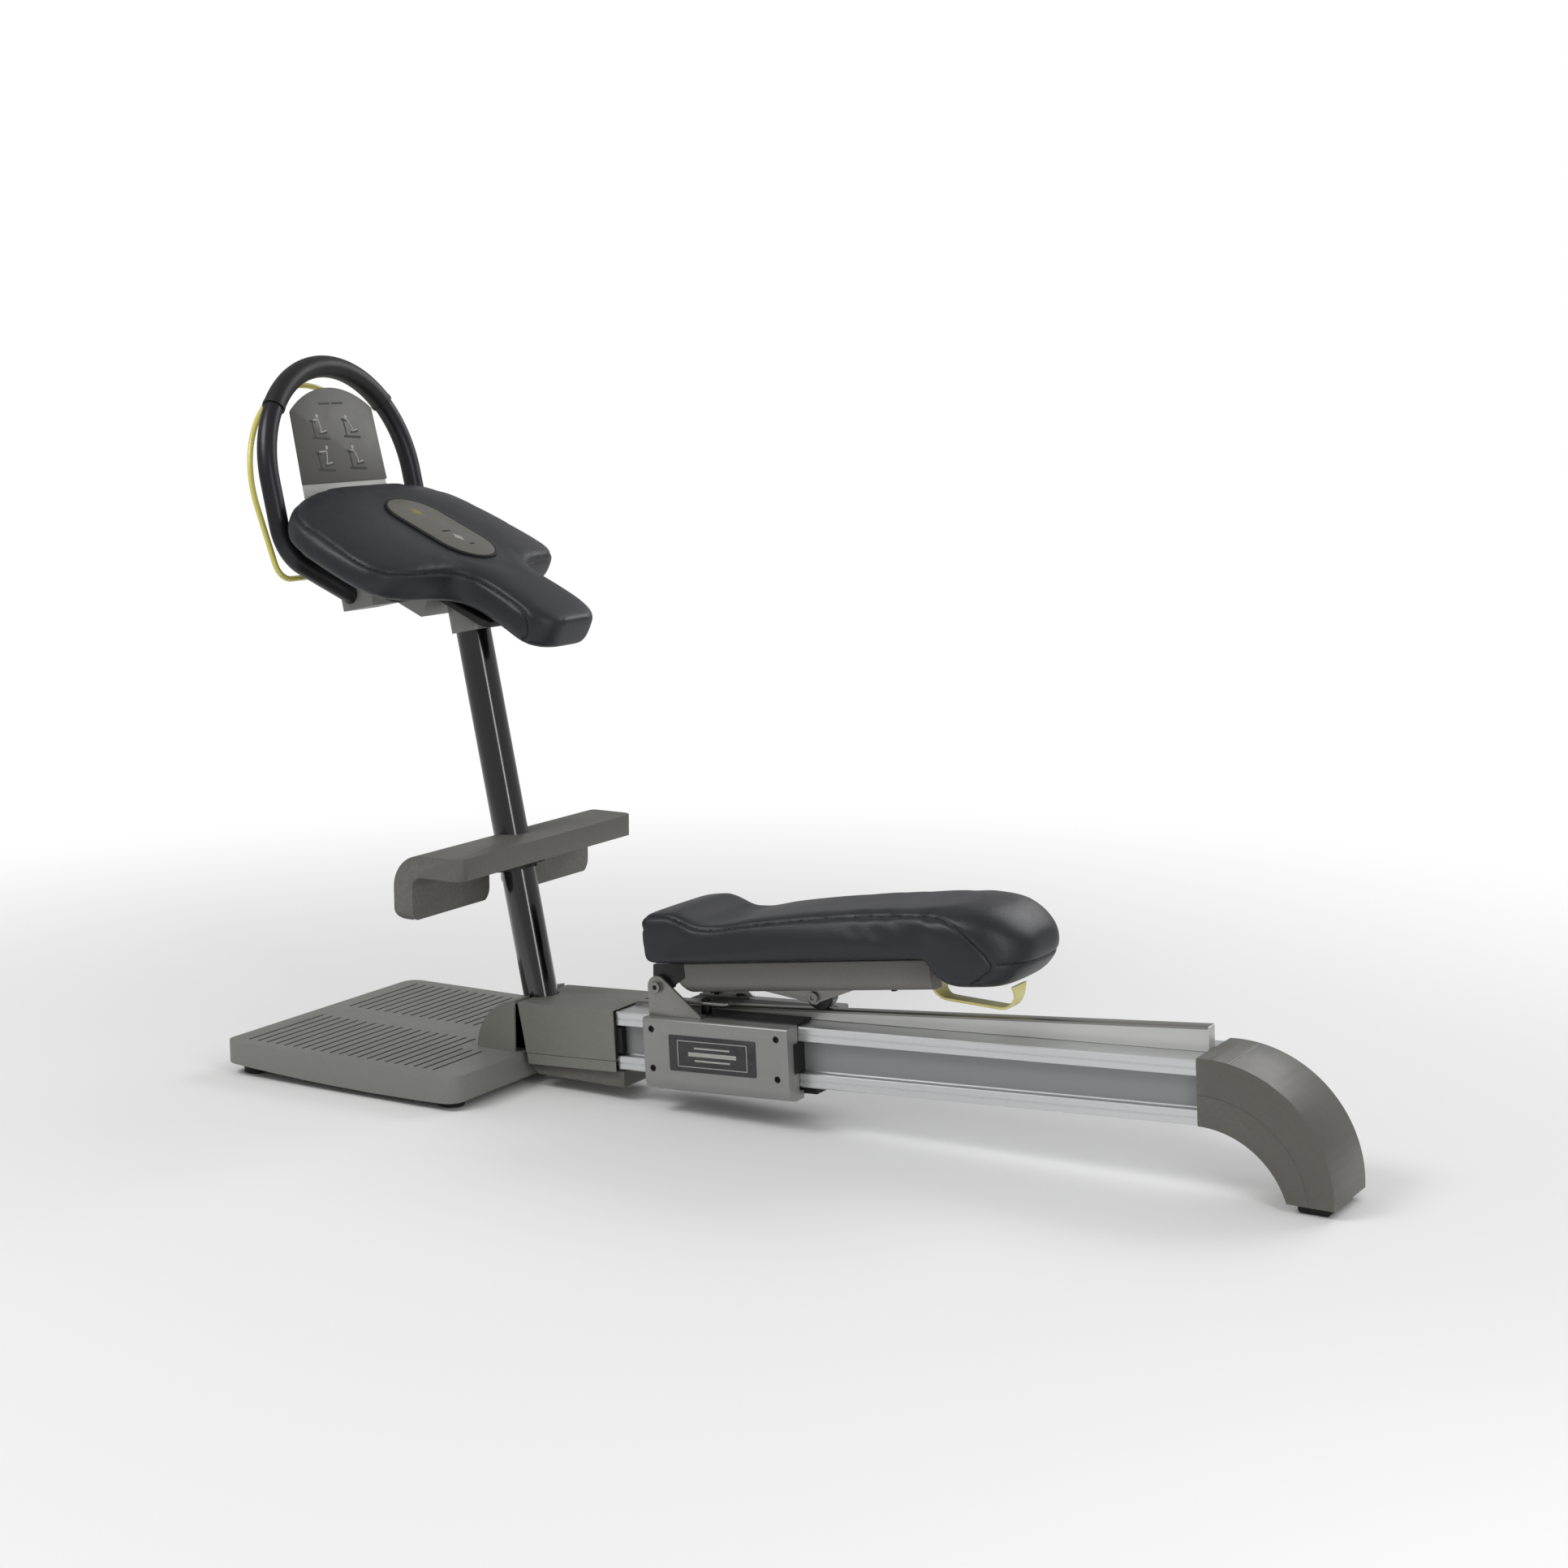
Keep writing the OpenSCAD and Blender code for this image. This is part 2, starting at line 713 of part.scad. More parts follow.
bail_reach = 90 + bail_slant;
bail_y = bail_arc * cos(bail_slant) - bail_leg * sin(bail_slant) - bail_bend * cos(bail_slant);
bail_path = concat([[-bail_pin_end, bail_low]],
                   bend_path(-bail_y, bail_low + bail_bend, bail_bend, -180, 180 - bail_reach, 6),
                   bend_path(0, bail_centre, bail_arc, -bail_reach, 2 * bail_reach, 36),
                   bend_path(bail_y, bail_low + bail_bend, bail_bend, bail_reach, 180 - bail_reach, 6),
                   [[bail_pin_end, bail_low]]);

module bail_lever() color("#e3df94")
  in_arch() translate([bail_off, 0, 0]) swept_tube(bail_path, bail_rad, 18);

// Turned pins on the bail's ends, which run in the bracket's plates
module bail_pins() color("#9c9c9c")
  in_arch() for (side = [-1, 1]) {
    y_rod(bail_off, bail_low, bail_rad, side > 0 ? 32 : -44.4, side > 0 ? 44.4 : -32);
    y_rod(bail_off, bail_low, bail_rad + 2, side > 0 ? 44.3 : -bail_pin_end, side > 0 ? bail_pin_end : -44.3);
  }

module bail_hinge_plates() color("#2b2b2d")
  in_arch() for (side = [-1, 1]) difference() {
    union() {
      translate([-55, side > 0 ? 36 : -44, bail_low - 11]) cube([56.8, 8, 22]);
      y_rod(bail_off, bail_low, 11, side > 0 ? 36 : -44, side > 0 ? 44 : -36);
    }
    y_rod(bail_off, bail_low, bail_rad + run_gap, -60, 60);
  }

// ---------- carriage ----------

// Section of one side casting: a tall cheek whose lower edge rolls under the rail
module cheek_section() {
  r = 22;
  lip = 56;
  lip_high = 14;
  translate([side_in, side_low + r]) square([side_out - side_in, side_top - side_low - r - 6]);
  translate([side_in, side_low + lip_high]) square([side_out - side_in - r, 60]);
  translate([side_in, side_top - 20]) square([side_out - side_in - 6, 20]);
  translate([side_out - 6, side_top - 6]) circle(6);
  translate([lip, side_low]) square([side_out - r - lip, lip_high]);
  intersection() {
    translate([side_out - r, side_low + r]) circle(r);
    translate([side_out - r, side_low]) square(r);
  }
}

module carriage_side(side) {
  on_rail() difference() {
    mirror([0, side > 0 ? 0 : 1, 0])
      translate([carriage_x, 0, 0]) rotate([90, 0, 90]) linear_extrude(carriage_len) cheek_section();
    for (x = wheel_xs)
      y_rod(x, wheel_z, axle_rad, side > 0 ? 60 : -92, side > 0 ? 92 : -60);
    for (x = screw_xs, z = screw_zs)
      y_rod(x, z, 5.6, side > 0 ? side_out - 5 : -side_out - 1, side > 0 ? side_out + 1 : -side_out + 5);
    for (x = [wheel_xs[0] + 32], z = [10])
      translate([x, side > 0 ? side_in - 1 : -side_in - 14, z]) cube([128, 15, 78]);
  }
}

module carriage_side_near() color("#cfcfcf") carriage_side(-1);

module carriage_side_far() color("#cfcfcf") carriage_side(1);

module carriage_bridge() color("#29292b")
  on_rail() translate([carriage_x + 8, -56, side_low + 3]) cube([carriage_len - 16, 112, 12]);

// Wear plates over the rail, one each side of the ramp
module carriage_top_plates() color("#1d1d1f")
  on_rail() for (side = [-1, 1])
    translate([carriage_x + 2, side > 0 ? 18 : -side_in, top_plate_z]) cube([carriage_len - 4, side_in - 18, 5]);

module label_plates() color("#3a3a3a")
  on_rail() for (side = [-1, 1])
    translate([carriage_x + 50, side > 0 ? side_out : -side_out - 1.2, 18.6]) cube([166, 1.2, 60]);

module side_screws() color("#202020")
  on_rail() for (side = [-1, 1], x = screw_xs, z = screw_zs)
    translate([x, side * (side_out - 5), z]) rotate([side > 0 ? -90 : 90, 0, 0]) cap_screw(5, 3.4, 2, 0);

module groove_wipers() color("#111111")
  on_rail() for (side = [-1, 1], x = [carriage_x - 3, carriage_x + carriage_len])
    translate([x, side > 0 ? 53.5 : -84, groove_low + 1.5]) cube([3, 30.5, groove_high - groove_low - 3]);

module wheel_axles() color("#a8a8a8")
  on_rail() for (side = [-1, 1], x = wheel_xs) {
    y_rod(x, wheel_z, axle_rad, side > 0 ? 52.7 : -92, side > 0 ? 92 : -52.7);
  }

module guide_wheel(side, x) {
  inner = side > 0 ? wheel_in : -wheel_in - wheel_wid;
  on_rail() difference() {
    union() {
      y_rod(x, wheel_z, wheel_rad, inner, inner + wheel_wid);
      y_rod(x, wheel_z, 10, side > 0 ? inner : inner - 1.8, inner + wheel_wid + (side > 0 ? 1.8 : 0));
    }
    y_rod(x, wheel_z, axle_rad + run_gap, inner - 5, inner + wheel_wid + 5);
    y_rod(x, wheel_z, 18, side > 0 ? inner - 1 : inner + wheel_wid - 3, side > 0 ? inner + 3 : inner + wheel_wid + 1);
  }
}

module wheel_front_near() color("#e8e6df") guide_wheel(-1, wheel_xs[0]);

module wheel_rear_near() color("#e8e6df") guide_wheel(-1, wheel_xs[1]);

module wheel_front_far() color("#e8e6df") guide_wheel(1, wheel_xs[0]);

module wheel_rear_far() color("#e8e6df") guide_wheel(1, wheel_xs[1]);

// Folded brackets that carry the cushion's hinge
module bracket_side() {
  nose = 18;
  difference() {
    union() {
      translate([hinge_x, hinge_z]) circle(nose);
      polygon([[hinge_x - nose, hinge_z], [hinge_x - nose, side_top], [hinge_x + 82, side_top],
               [hinge_x + 82, side_top + 4], [hinge_x + 13.5, hinge_z + 12], [hinge_x, hinge_z]]);
    }
    translate([hinge_x, hinge_z]) circle(hinge_rad);
  }
}

module hinge_brackets() color("#a9aaa8")
  on_rail() for (side = [-1, 1]) {
    near = side > 0 ? bracket_y : -bracket_y - bracket_thick;
    y_pull(near, near + bracket_thick) bracket_side();
    translate([hinge_x - 18, side > 0 ? bracket_y - 12 : -bracket_y, side_top]) cube([100, 12, 4]);
  }

module hinge_bolts() color("#8f8f8f")
  on_rail() for (side = [-1, 1]) {
    face = side * (bracket_y + bracket_thick);
    y_rod(hinge_x, hinge_z, hinge_rad, side > 0 ? 62 : face - 2, side > 0 ? face + 2 : -62);
    translate([hinge_x, face, hinge_z]) rotate([side > 0 ? -90 : 90, 0, 0]) {
      difference() {
        cylinder(h = 2, r = 11);
        translate([0, 0, -1]) cylinder(h = 4, r = hinge_rad);
      }
      translate([0, 0, 2]) cap_screw(9, 5.5, 5, 0);
    }
  }

// A flat lever on a standing bolt, between the carriage top and the tray
lever_x = 320;
lever_y = -50;
lever_z = 122;

module lock_lever() color("#d0d0cc")
  on_rail() difference() {
    translate([lever_x, lever_y, lever_z]) linear_extrude(5) {
      circle(12);
      translate([-44, -11]) square([80, 22]);
      translate([-44, 0]) circle(11);
      translate([36, 0]) circle(11);
    }
    translate([lever_x, lever_y, 100]) cylinder(h = 60, r = 5 + run_gap);
  }

module lock_pivot_bolt() color("#202021")
  on_rail() translate([lever_x, lever_y, 0]) {
    translate([0, 0, top_plate_z + 5]) cylinder(h = lever_z - top_plate_z - 5.3, r = 9);
    translate([0, 0, lever_z - 1]) cylinder(h = 8, r = 5);
    translate([0, 0, lever_z + 5.3]) cylinder(h = 4, r = 8);
  }

module brake_shoe() color("#0f0f10")
  on_rail() difference() {
    translate([carriage_x + carriage_len - 40, -52, side_low + 6]) cube([62, 104, 9]);
    translate([carriage_x + 8, -57, side_low + 2]) cube([carriage_len - 16, 114, 13]);
  }

// ---------- cushion ----------

module tray_section(grow, high) {
  r = 18;
  half = 75 + grow;
  translate([-half, -15 - grow + r]) square([2 * half, high + 15 + grow - r]);
  translate([-half + r, -15 - grow]) square([2 * half - 2 * r, r + 1]);
  for (y = [-half + r, half - r]) translate([y, -15 - grow + r]) circle(r);
}

module cushion_tray() color("#7b7a76")
  on_cushion() difference() {
    intersection() {
      translate([22, 0, 0]) rotate([90, 0, 90]) linear_extrude(484) tray_section(0, 35.7);
      y_pull(-100, 100) polygon([[22, 36], [22, 20], [52, -16], [506, -16], [506, 36]]);
    }
    translate([60, 0, 0]) rotate([90, 0, 90]) linear_extrude(440) tray_section(-5, 25);
    translate([225, -19, -20]) cube([76, 38, 30]);
    translate([strap_front - 6, -38, -20]) cube([60, 76, 60]);
  }

module shin_cushion() color("#2a2d33")
  on_cushion() soft_body([for (r = cushion_rows) ring(r[0], cushion_half * r[3], r[2], r[1], 0.3)]);

// Lugs from the tray to the hinge bolts
module hinge_ears() color("#151516")
  on_cushion() for (side = [-1, 1]) {
    near = side > 0 ? 62.5 : -75.5;
    difference() {
      y_pull(near, near + 13) union() {
        circle(15);
        polygon([[-14, 5], [-10, 35.7], [50, 35.7], [50, 12], [10, -11.2]]);
      }
      y_rod(0, 0, hinge_rad + run_gap, -90, 90);
      translate([22, 0, 0]) rotate([90, 0, 90]) linear_extrude(484) tray_section(0, 35.7);
    }
  }

module gusset_profile() {
  difference() {
    union() {
      polygon([[roller_u - 118, -15], [roller_u + 96, -15], [roller_u + 12, roller_w - 8], [roller_u - 12, roller_w - 8]]);
      translate([roller_u, roller_w]) circle(13);
    }
    translate([roller_u, roller_w]) circle(6);
  }
}

module roller_gussets() color("#8f8f8c")
  on_cushion() for (side = [-1, 1]) {
    near = side > 0 ? gusset_y : -gusset_y - gusset_thick;
    y_pull(near, near + gusset_thick) gusset_profile();
  }

module roller_axle() color("#b0b0b0")
  on_cushion() {
    face = gusset_y + gusset_thick;
    y_rod(roller_u, roller_w, 6, -face, face);
    for (side = [-1, 1])
      translate([roller_u, side * face, roller_w]) rotate([side > 0 ? -90 : 90, 0, 0]) cap_screw(9, 5, 5, 0);
  }

module ramp_roller() color("#17181a")
  on_cushion() difference() {
    union() {
      y_rod(roller_u, roller_w, roller_rad, -roller_wid / 2, roller_wid / 2);
      y_rod(roller_u, roller_w, 11, -gusset_y + 0.6, gusset_y - 0.6);
    }
    y_rod(roller_u, roller_w, 6 + run_gap, -40, 40);
  }

// A strip bent into a loop under the cushion's tail; its grip is narrower than its two legs
strap_front = 478;
strap_rear = 622;
strap_thick = 4.5;
strap_slope = 9.5;
front_bend = [502, -18.34, 24];
rear_bend = [594, -29.68, 28];

// Side view of the loop's outside, or of its inside when shrunk by the strip's thickness
module strap_fill(shrink) {
  down = [-sin(strap_slope), -cos(strap_slope)];
  low_front = [front_bend[0], front_bend[1]] + down * (front_bend[2] - shrink);
  low_rear = [rear_bend[0], rear_bend[1]] + down * (rear_bend[2] - shrink);
  polygon([[strap_front + shrink, 60], [strap_front + shrink, front_bend[1]], low_front, low_rear,
           [strap_rear - shrink, rear_bend[1]], [strap_rear - shrink, 60]]);
  for (bend = [front_bend, rear_bend]) translate([bend[0], bend[1]]) circle(bend[2] - shrink);
}

module pull_handle() color("#e3df94")
  on_cushion() intersection() {
    y_pull(-34, 34) difference() {
      strap_fill(0);
      strap_fill(strap_thick);
      polygon([[470, 35.7], [540, 35.7], [560, -19.6], [640, -19.6], [640, 80], [470, 80]]);
    }
    rotate([90, 0, 90]) translate([0, 0, 470]) linear_extrude(160)
      polygon([[-15, -70], [15, -70], [15, -40], [34, 2], [34, 40], [-34, 40], [-34, 2], [-15, -40]]);
  }

platform_tray();
grip_strips();
platform_feet();
platform_beam();
housing_cover();
housing_lower();
nose_fairing();
skid_block();
column_socket();
rail_extrusion();
ramp_bar();
ramp_screws();
rail_buffers();
rail_end_plug();
rear_foot_upper();
rear_foot_lower();
rear_foot_pad();
column_tube();
foot_bar();
foot_bar_collar();
head_bracket();
pad_board();
arm_pad();
pad_inlay();
arch_tube();
arch_grip();
placard_back();
placard_face();
placard_screws();
bail_lever();
bail_pins();
bail_hinge_plates();
carriage_side_near();
carriage_side_far();
carriage_bridge();
carriage_top_plates();
label_plates();
side_screws();
groove_wipers();
wheel_axles();
wheel_front_near();
wheel_rear_near();
wheel_front_far();
wheel_rear_far();
hinge_brackets();
hinge_bolts();
lock_lever();
lock_pivot_bolt();
brake_shoe();
cushion_tray();
shin_cushion();
hinge_ears();
roller_gussets();
roller_axle();
ramp_roller();
pull_handle();
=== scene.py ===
"""Looks of a kneeling stretch bench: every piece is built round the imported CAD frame, in metres."""

import json
import logging
import math
from collections.abc import Callable, Sequence
from dataclasses import dataclass, field
from enum import Enum

import bmesh
import bpy
import numpy as np
from mathutils import Matrix, Vector
from mathutils.bvhtree import BVHTree
from mathutils.kdtree import KDTree


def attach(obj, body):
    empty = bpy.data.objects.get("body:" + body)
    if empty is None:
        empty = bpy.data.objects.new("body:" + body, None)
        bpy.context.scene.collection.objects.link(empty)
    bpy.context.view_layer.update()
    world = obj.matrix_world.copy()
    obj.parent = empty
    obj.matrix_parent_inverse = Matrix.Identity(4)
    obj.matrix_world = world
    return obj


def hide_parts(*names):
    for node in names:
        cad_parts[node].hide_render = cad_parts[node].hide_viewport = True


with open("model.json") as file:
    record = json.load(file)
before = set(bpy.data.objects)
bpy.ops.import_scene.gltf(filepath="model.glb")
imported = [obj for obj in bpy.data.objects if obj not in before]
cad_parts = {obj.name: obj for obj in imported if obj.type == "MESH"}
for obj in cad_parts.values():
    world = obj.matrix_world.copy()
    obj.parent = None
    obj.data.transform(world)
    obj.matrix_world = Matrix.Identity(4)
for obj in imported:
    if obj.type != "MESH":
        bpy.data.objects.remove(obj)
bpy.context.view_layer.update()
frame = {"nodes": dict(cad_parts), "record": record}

logging.basicConfig(level=logging.INFO, format="%(message)s")
log = logging.getLogger("bench")

Point = tuple[float, float, float]
Flat = tuple[float, float]


# ---------------------------------------------------------------- places


def turned(x: float, z: float, degrees: float) -> Matrix:
    """A frame in the bench's middle plane, turned about +Y.

    Args:
        x: The frame's origin along X, in metres.
        z: The frame's origin along Z, in metres.
        degrees: The turn about +Y; positive tips +X down.

    Returns:
        The matrix from that frame to the row's frame.
    """
    return Matrix.Translation((x, 0, z)) @ Matrix.Rotation(math.radians(degrees), 4, "Y")


RAIL = turned(-0.421, 0.04725, -3.12)
ARCH = turned(-0.8777, 1.0, -12.47)
PAD = turned(-0.6906, 0.9565, 24.0)
COLUMN = turned(-0.4762, 0.1472, -11.8)
CUSHION = RAIL @ turned(0.2487, 0.1534, -4.38)


def linear(code: str) -> tuple[float, float, float, float]:
    """A screen colour such as "8b8c86" as the linear colour that a shader takes."""
    parts = [int(code[i : i + 2], 16) / 255 for i in (0, 2, 4)]
    r, g, b = (p / 12.92 if p <= 0.04045 else ((p + 0.055) / 1.055) ** 2.4 for p in parts)
    return r, g, b, 1.0


# ---------------------------------------------------------------- shader groups


class GroupMaker:
    """Builds one shader node group with named sockets and a few wired nodes."""

    def __init__(self, name: str, inputs: Sequence[tuple[str, str, object]], outputs: Sequence[tuple[str, str]]) -> None:
        """Starts the group.

        Args:
            name: The group's name.
            inputs: Each input's name, socket type and first value.
            outputs: Each output's name and socket type.
        """
        self.tree = bpy.data.node_groups.new(name, "ShaderNodeTree")
        for label, kind, value in inputs:
            socket = self.tree.interface.new_socket(label, in_out="INPUT", socket_type=kind)
            if value is not None:
                socket.default_value = value
        for label, kind in outputs:
            self.tree.interface.new_socket(label, in_out="OUTPUT", socket_type=kind)
        self.source = self.tree.nodes.new("NodeGroupInput")
        self.sink = self.tree.nodes.new("NodeGroupOutput")

    def node(self, kind: str, **values: object) -> bpy.types.Node:
        """Adds a node, with its plain properties set."""
        made = self.tree.nodes.new(kind)
        for key, value in values.items():
            setattr(made, key, value)
        return made

    def join(self, start: bpy.types.NodeSocket, end: bpy.types.NodeSocket) -> None:
        """Wires one socket to another."""
        self.tree.links.new(start, end)

    def sum(self, how: str, a: object, b: object) -> bpy.types.NodeSocket:
        """A Math node on two sockets or numbers, such as "MULTIPLY"; gives its result."""
        made = self.node("ShaderNodeMath", operation=how)
        for socket, value in zip(made.inputs, (a, b), strict=False):
            if isinstance(value, (int, float)):
                socket.default_value = value
            else:
                self.join(value, socket)
        return made.outputs[0]

    def noise(self, vector: bpy.types.NodeSocket, scale: object, detail: float, rough: float = 0.5) -> bpy.types.NodeSocket:
        """A Noise texture's grey value over a vector; scale is a socket or a number."""
        made = self.node("ShaderNodeTexNoise")
        self.join(vector, made.inputs["Vector"])
        if isinstance(scale, (int, float)):
            made.inputs["Scale"].default_value = scale
        else:
            self.join(scale, made.inputs["Scale"])
        made.inputs["Detail"].default_value = detail
        made.inputs["Roughness"].default_value = rough
        return made.outputs[0]

    def spread(self, value: bpy.types.NodeSocket, low: float, high: float) -> bpy.types.NodeSocket:
        """Stretches a value from low..high to 0..1, and clamps it."""
        made = self.node("ShaderNodeMapRange")
        self.join(value, made.inputs["Value"])
        made.inputs["From Min"].default_value = low
        made.inputs["From Max"].default_value = high
        return made.outputs[0]


class Effects:
    """The shader groups that more than one finish uses, each built once."""

    def __init__(self) -> None:
        """Builds every group."""
        self.drift = self._drift()
        self.moulded = self._moulded()
        self.drawn = self._drawn()
        self.hide = self._hide()
        self.rub = self._rub()
        self.film = self._film()

    @staticmethod
    def _drift() -> bpy.types.NodeTree:
        """Slow changes of tone over a surface: cloudy at two sizes."""
        g = GroupMaker(
            "ToneDrift",
            [("Vector", "NodeSocketVector", None), ("Colour", "NodeSocketColor", None),
             ("Scale", "NodeSocketFloat", 6.0), ("Amount", "NodeSocketFloat", 0.06)],
            [("Colour", "NodeSocketColor"), ("Value", "NodeSocketFloat")],
        )
        vector = g.source.outputs["Vector"]
        wide = g.noise(vector, g.source.outputs["Scale"], 3.0)
        fine = g.noise(vector, g.sum("MULTIPLY", g.source.outputs["Scale"], 9.0), 4.0, 0.6)
        both = g.sum("ADD", g.sum("MULTIPLY", wide, 0.65), g.sum("MULTIPLY", fine, 0.35))
        shift = g.sum("MULTIPLY", g.sum("SUBTRACT", both, 0.5), g.sum("MULTIPLY", g.source.outputs["Amount"], 2.4))
        tone = g.node("ShaderNodeHueSaturation")
        g.join(g.sum("ADD", shift, 1.0), tone.inputs["Value"])
        g.join(g.source.outputs["Colour"], tone.inputs["Color"])
        g.join(tone.outputs[0], g.sink.inputs["Colour"])
        g.join(both, g.sink.inputs["Value"])
        return g.tree

    @staticmethod
    def _moulded() -> bpy.types.NodeTree:
        """The pebbled grain of a moulded shell, as a height and a roughness change."""
        g = GroupMaker(
            "MouldedGrain",
            [("Vector", "NodeSocketVector", None), ("Scale", "NodeSocketFloat", 900.0), ("Roughness", "NodeSocketFloat", 0.5)],
            [("Height", "NodeSocketFloat"), ("Roughness", "NodeSocketFloat")],
        )
        cells = g.node("ShaderNodeTexVoronoi", feature="SMOOTH_F1")
        g.join(g.source.outputs["Vector"], cells.inputs["Vector"])
        g.join(g.source.outputs["Scale"], cells.inputs["Scale"])
        pebble = g.spread(cells.outputs["Distance"], 0.05, 0.6)
        soft = g.noise(g.source.outputs["Vector"], g.sum("MULTIPLY", g.source.outputs["Scale"], 0.4), 5.0, 0.65)
        g.join(g.sum("ADD", g.sum("MULTIPLY", pebble, 0.6), g.sum("MULTIPLY", soft, 0.6)), g.sink.inputs["Height"])
        smear = g.noise(g.source.outputs["Vector"], 14.0, 4.0, 0.6)
        change = g.sum("MULTIPLY", g.sum("SUBTRACT", smear, 0.5), 0.22)
        g.join(g.sum("ADD", g.source.outputs["Roughness"], change), g.sink.inputs["Roughness"])
        return g.tree

    @staticmethod
    def _drawn() -> bpy.types.NodeTree:
        """Fine lines left by drawing, brushing or extruding, along the vector's X."""
        g = GroupMaker(
            "DrawnLines",
            [("Vector", "NodeSocketVector", None), ("Roughness", "NodeSocketFloat", 0.3), ("Amount", "NodeSocketFloat", 0.06)],
            [("Height", "NodeSocketFloat"), ("Roughness", "NodeSocketFloat")],
        )
        stretch = g.node("ShaderNodeMapping")
        stretch.inputs["Scale"].default_value = (2.0, 420.0, 420.0)
        g.join(g.source.outputs["Vector"], stretch.inputs["Vector"])
        lines = g.noise(stretch.outputs[0], 1.0, 3.0, 0.7)
        g.join(lines, g.sink.inputs["Height"])
        hand = g.noise(g.source.outputs["Vector"], 9.0, 4.0, 0.6)
        mixed = g.sum("ADD", g.sum("SUBTRACT", lines, 0.5), g.sum("SUBTRACT", hand, 0.5))
        change = g.sum("MULTIPLY", mixed, g.source.outputs["Amount"])
        g.join(g.sum("ADD", g.source.outputs["Roughness"], change), g.sink.inputs["Roughness"])
        return g.tree

    @staticmethod
    def _hide() -> bpy.types.NodeTree:
        """Leather grain: small cells, fine pores and a few long soft creases."""
        g = GroupMaker(
            "HideGrain",
            [("Vector", "NodeSocketVector", None), ("Scale", "NodeSocketFloat", 420.0), ("Roughness", "NodeSocketFloat", 0.4)],
            [("Height", "NodeSocketFloat"), ("Roughness", "NodeSocketFloat"), ("Crease", "NodeSocketFloat")],
        )
        vector = g.source.outputs["Vector"]
        warp = g.node("ShaderNodeTexNoise")
        warp.inputs["Scale"].default_value = 60.0
        g.join(vector, warp.inputs["Vector"])
        push = g.node("ShaderNodeVectorMath", operation="MULTIPLY_ADD")
        push.inputs[1].default_value = (0.004, 0.004, 0.004)
        g.join(warp.outputs["Color"], push.inputs[0])
        g.join(vector, push.inputs[2])
        cells = g.node("ShaderNodeTexVoronoi", feature="DISTANCE_TO_EDGE")
        g.join(push.outputs[0], cells.inputs["Vector"])
        g.join(g.source.outputs["Scale"], cells.inputs["Scale"])
        plates = g.spread(cells.outputs["Distance"], 0.0, 0.22)
        pores = g.noise(vector, 2600.0, 2.0)
        long = g.node("ShaderNodeTexVoronoi", feature="DISTANCE_TO_EDGE")
        g.join(push.outputs[0], long.inputs["Vector"])
        long.inputs["Scale"].default_value = 38.0
        crease = g.spread(long.outputs["Distance"], 0.0, 0.05)
        height = g.sum("ADD", g.sum("MULTIPLY", plates, 0.6), g.sum("MULTIPLY", pores, 0.2))
        g.join(g.sum("ADD", height, g.sum("MULTIPLY", crease, 0.25)), g.sink.inputs["Height"])
        worn = g.noise(vector, 7.0, 4.0, 0.55)
        change = g.sum("ADD", g.sum("MULTIPLY", g.sum("SUBTRACT", worn, 0.5), 0.24), g.sum("MULTIPLY", plates, -0.06))
        g.join(g.sum("ADD", g.source.outputs["Roughness"], change), g.sink.inputs["Roughness"])
        g.join(crease, g.sink.inputs["Crease"])
        return g.tree

    @staticmethod
    def _rub() -> bpy.types.NodeTree:
        """Paler tone where edges are rubbed, broken up by noise."""
        g = GroupMaker(
            "EdgeRub",
            [("Vector", "NodeSocketVector", None), ("Colour", "NodeSocketColor", None),
             ("Worn", "NodeSocketColor", None), ("Amount", "NodeSocketFloat", 0.4)],
            [("Colour", "NodeSocketColor"), ("Mask", "NodeSocketFloat")],
        )
        shape = g.node("ShaderNodeNewGeometry")
        edge = g.spread(shape.outputs["Pointiness"], 0.505, 0.56)
        broken = g.spread(g.noise(g.source.outputs["Vector"], 160.0, 5.0, 0.7), 0.35, 0.7)
        mask = g.sum("MULTIPLY", g.sum("MULTIPLY", edge, broken), g.source.outputs["Amount"])
        mix = g.node("ShaderNodeMix", data_type="RGBA")
        g.join(mask, mix.inputs["Factor"])
        g.join(g.source.outputs["Colour"], mix.inputs[6])
        g.join(g.source.outputs["Worn"], mix.inputs[7])
        g.join(mix.outputs[2], g.sink.inputs["Colour"])
        g.join(mask, g.sink.inputs["Mask"])
        return g.tree

    @staticmethod
    def _film() -> bpy.types.NodeTree:
        """A thin dusty film that settles on faces that look up."""
        g = GroupMaker(
            "DustFilm",
            [("Vector", "NodeSocketVector", None), ("Colour", "NodeSocketColor", None), ("Amount", "NodeSocketFloat", 0.08)],
            [("Colour", "NodeSocketColor"), ("Mask", "NodeSocketFloat")],
        )
        shape = g.node("ShaderNodeNewGeometry")
        split = g.node("ShaderNodeSeparateXYZ")
        g.join(shape.outputs["Normal"], split.inputs[0])
        up = g.spread(split.outputs["Z"], 0.2, 1.0)
        patch = g.spread(g.noise(g.source.outputs["Vector"], 26.0, 6.0, 0.7), 0.4, 0.75)
        mask = g.sum("MULTIPLY", g.sum("MULTIPLY", up, patch), g.source.outputs["Amount"])
        mix = g.node("ShaderNodeMix", data_type="RGBA")
        g.join(mask, mix.inputs["Factor"])
        g.join(g.source.outputs["Colour"], mix.inputs[6])
        mix.inputs[7].default_value = linear("b9b5aa")
        g.join(mix.outputs[2], g.sink.inputs["Colour"])
        g.join(mask, g.sink.inputs["Mask"])
        return g.tree


# ---------------------------------------------------------------- finishes


class Surface(Enum):
    """What a finish's fine structure is."""

    MOULDED = "moulded"
    DRAWN = "drawn"
    HIDE = "hide"


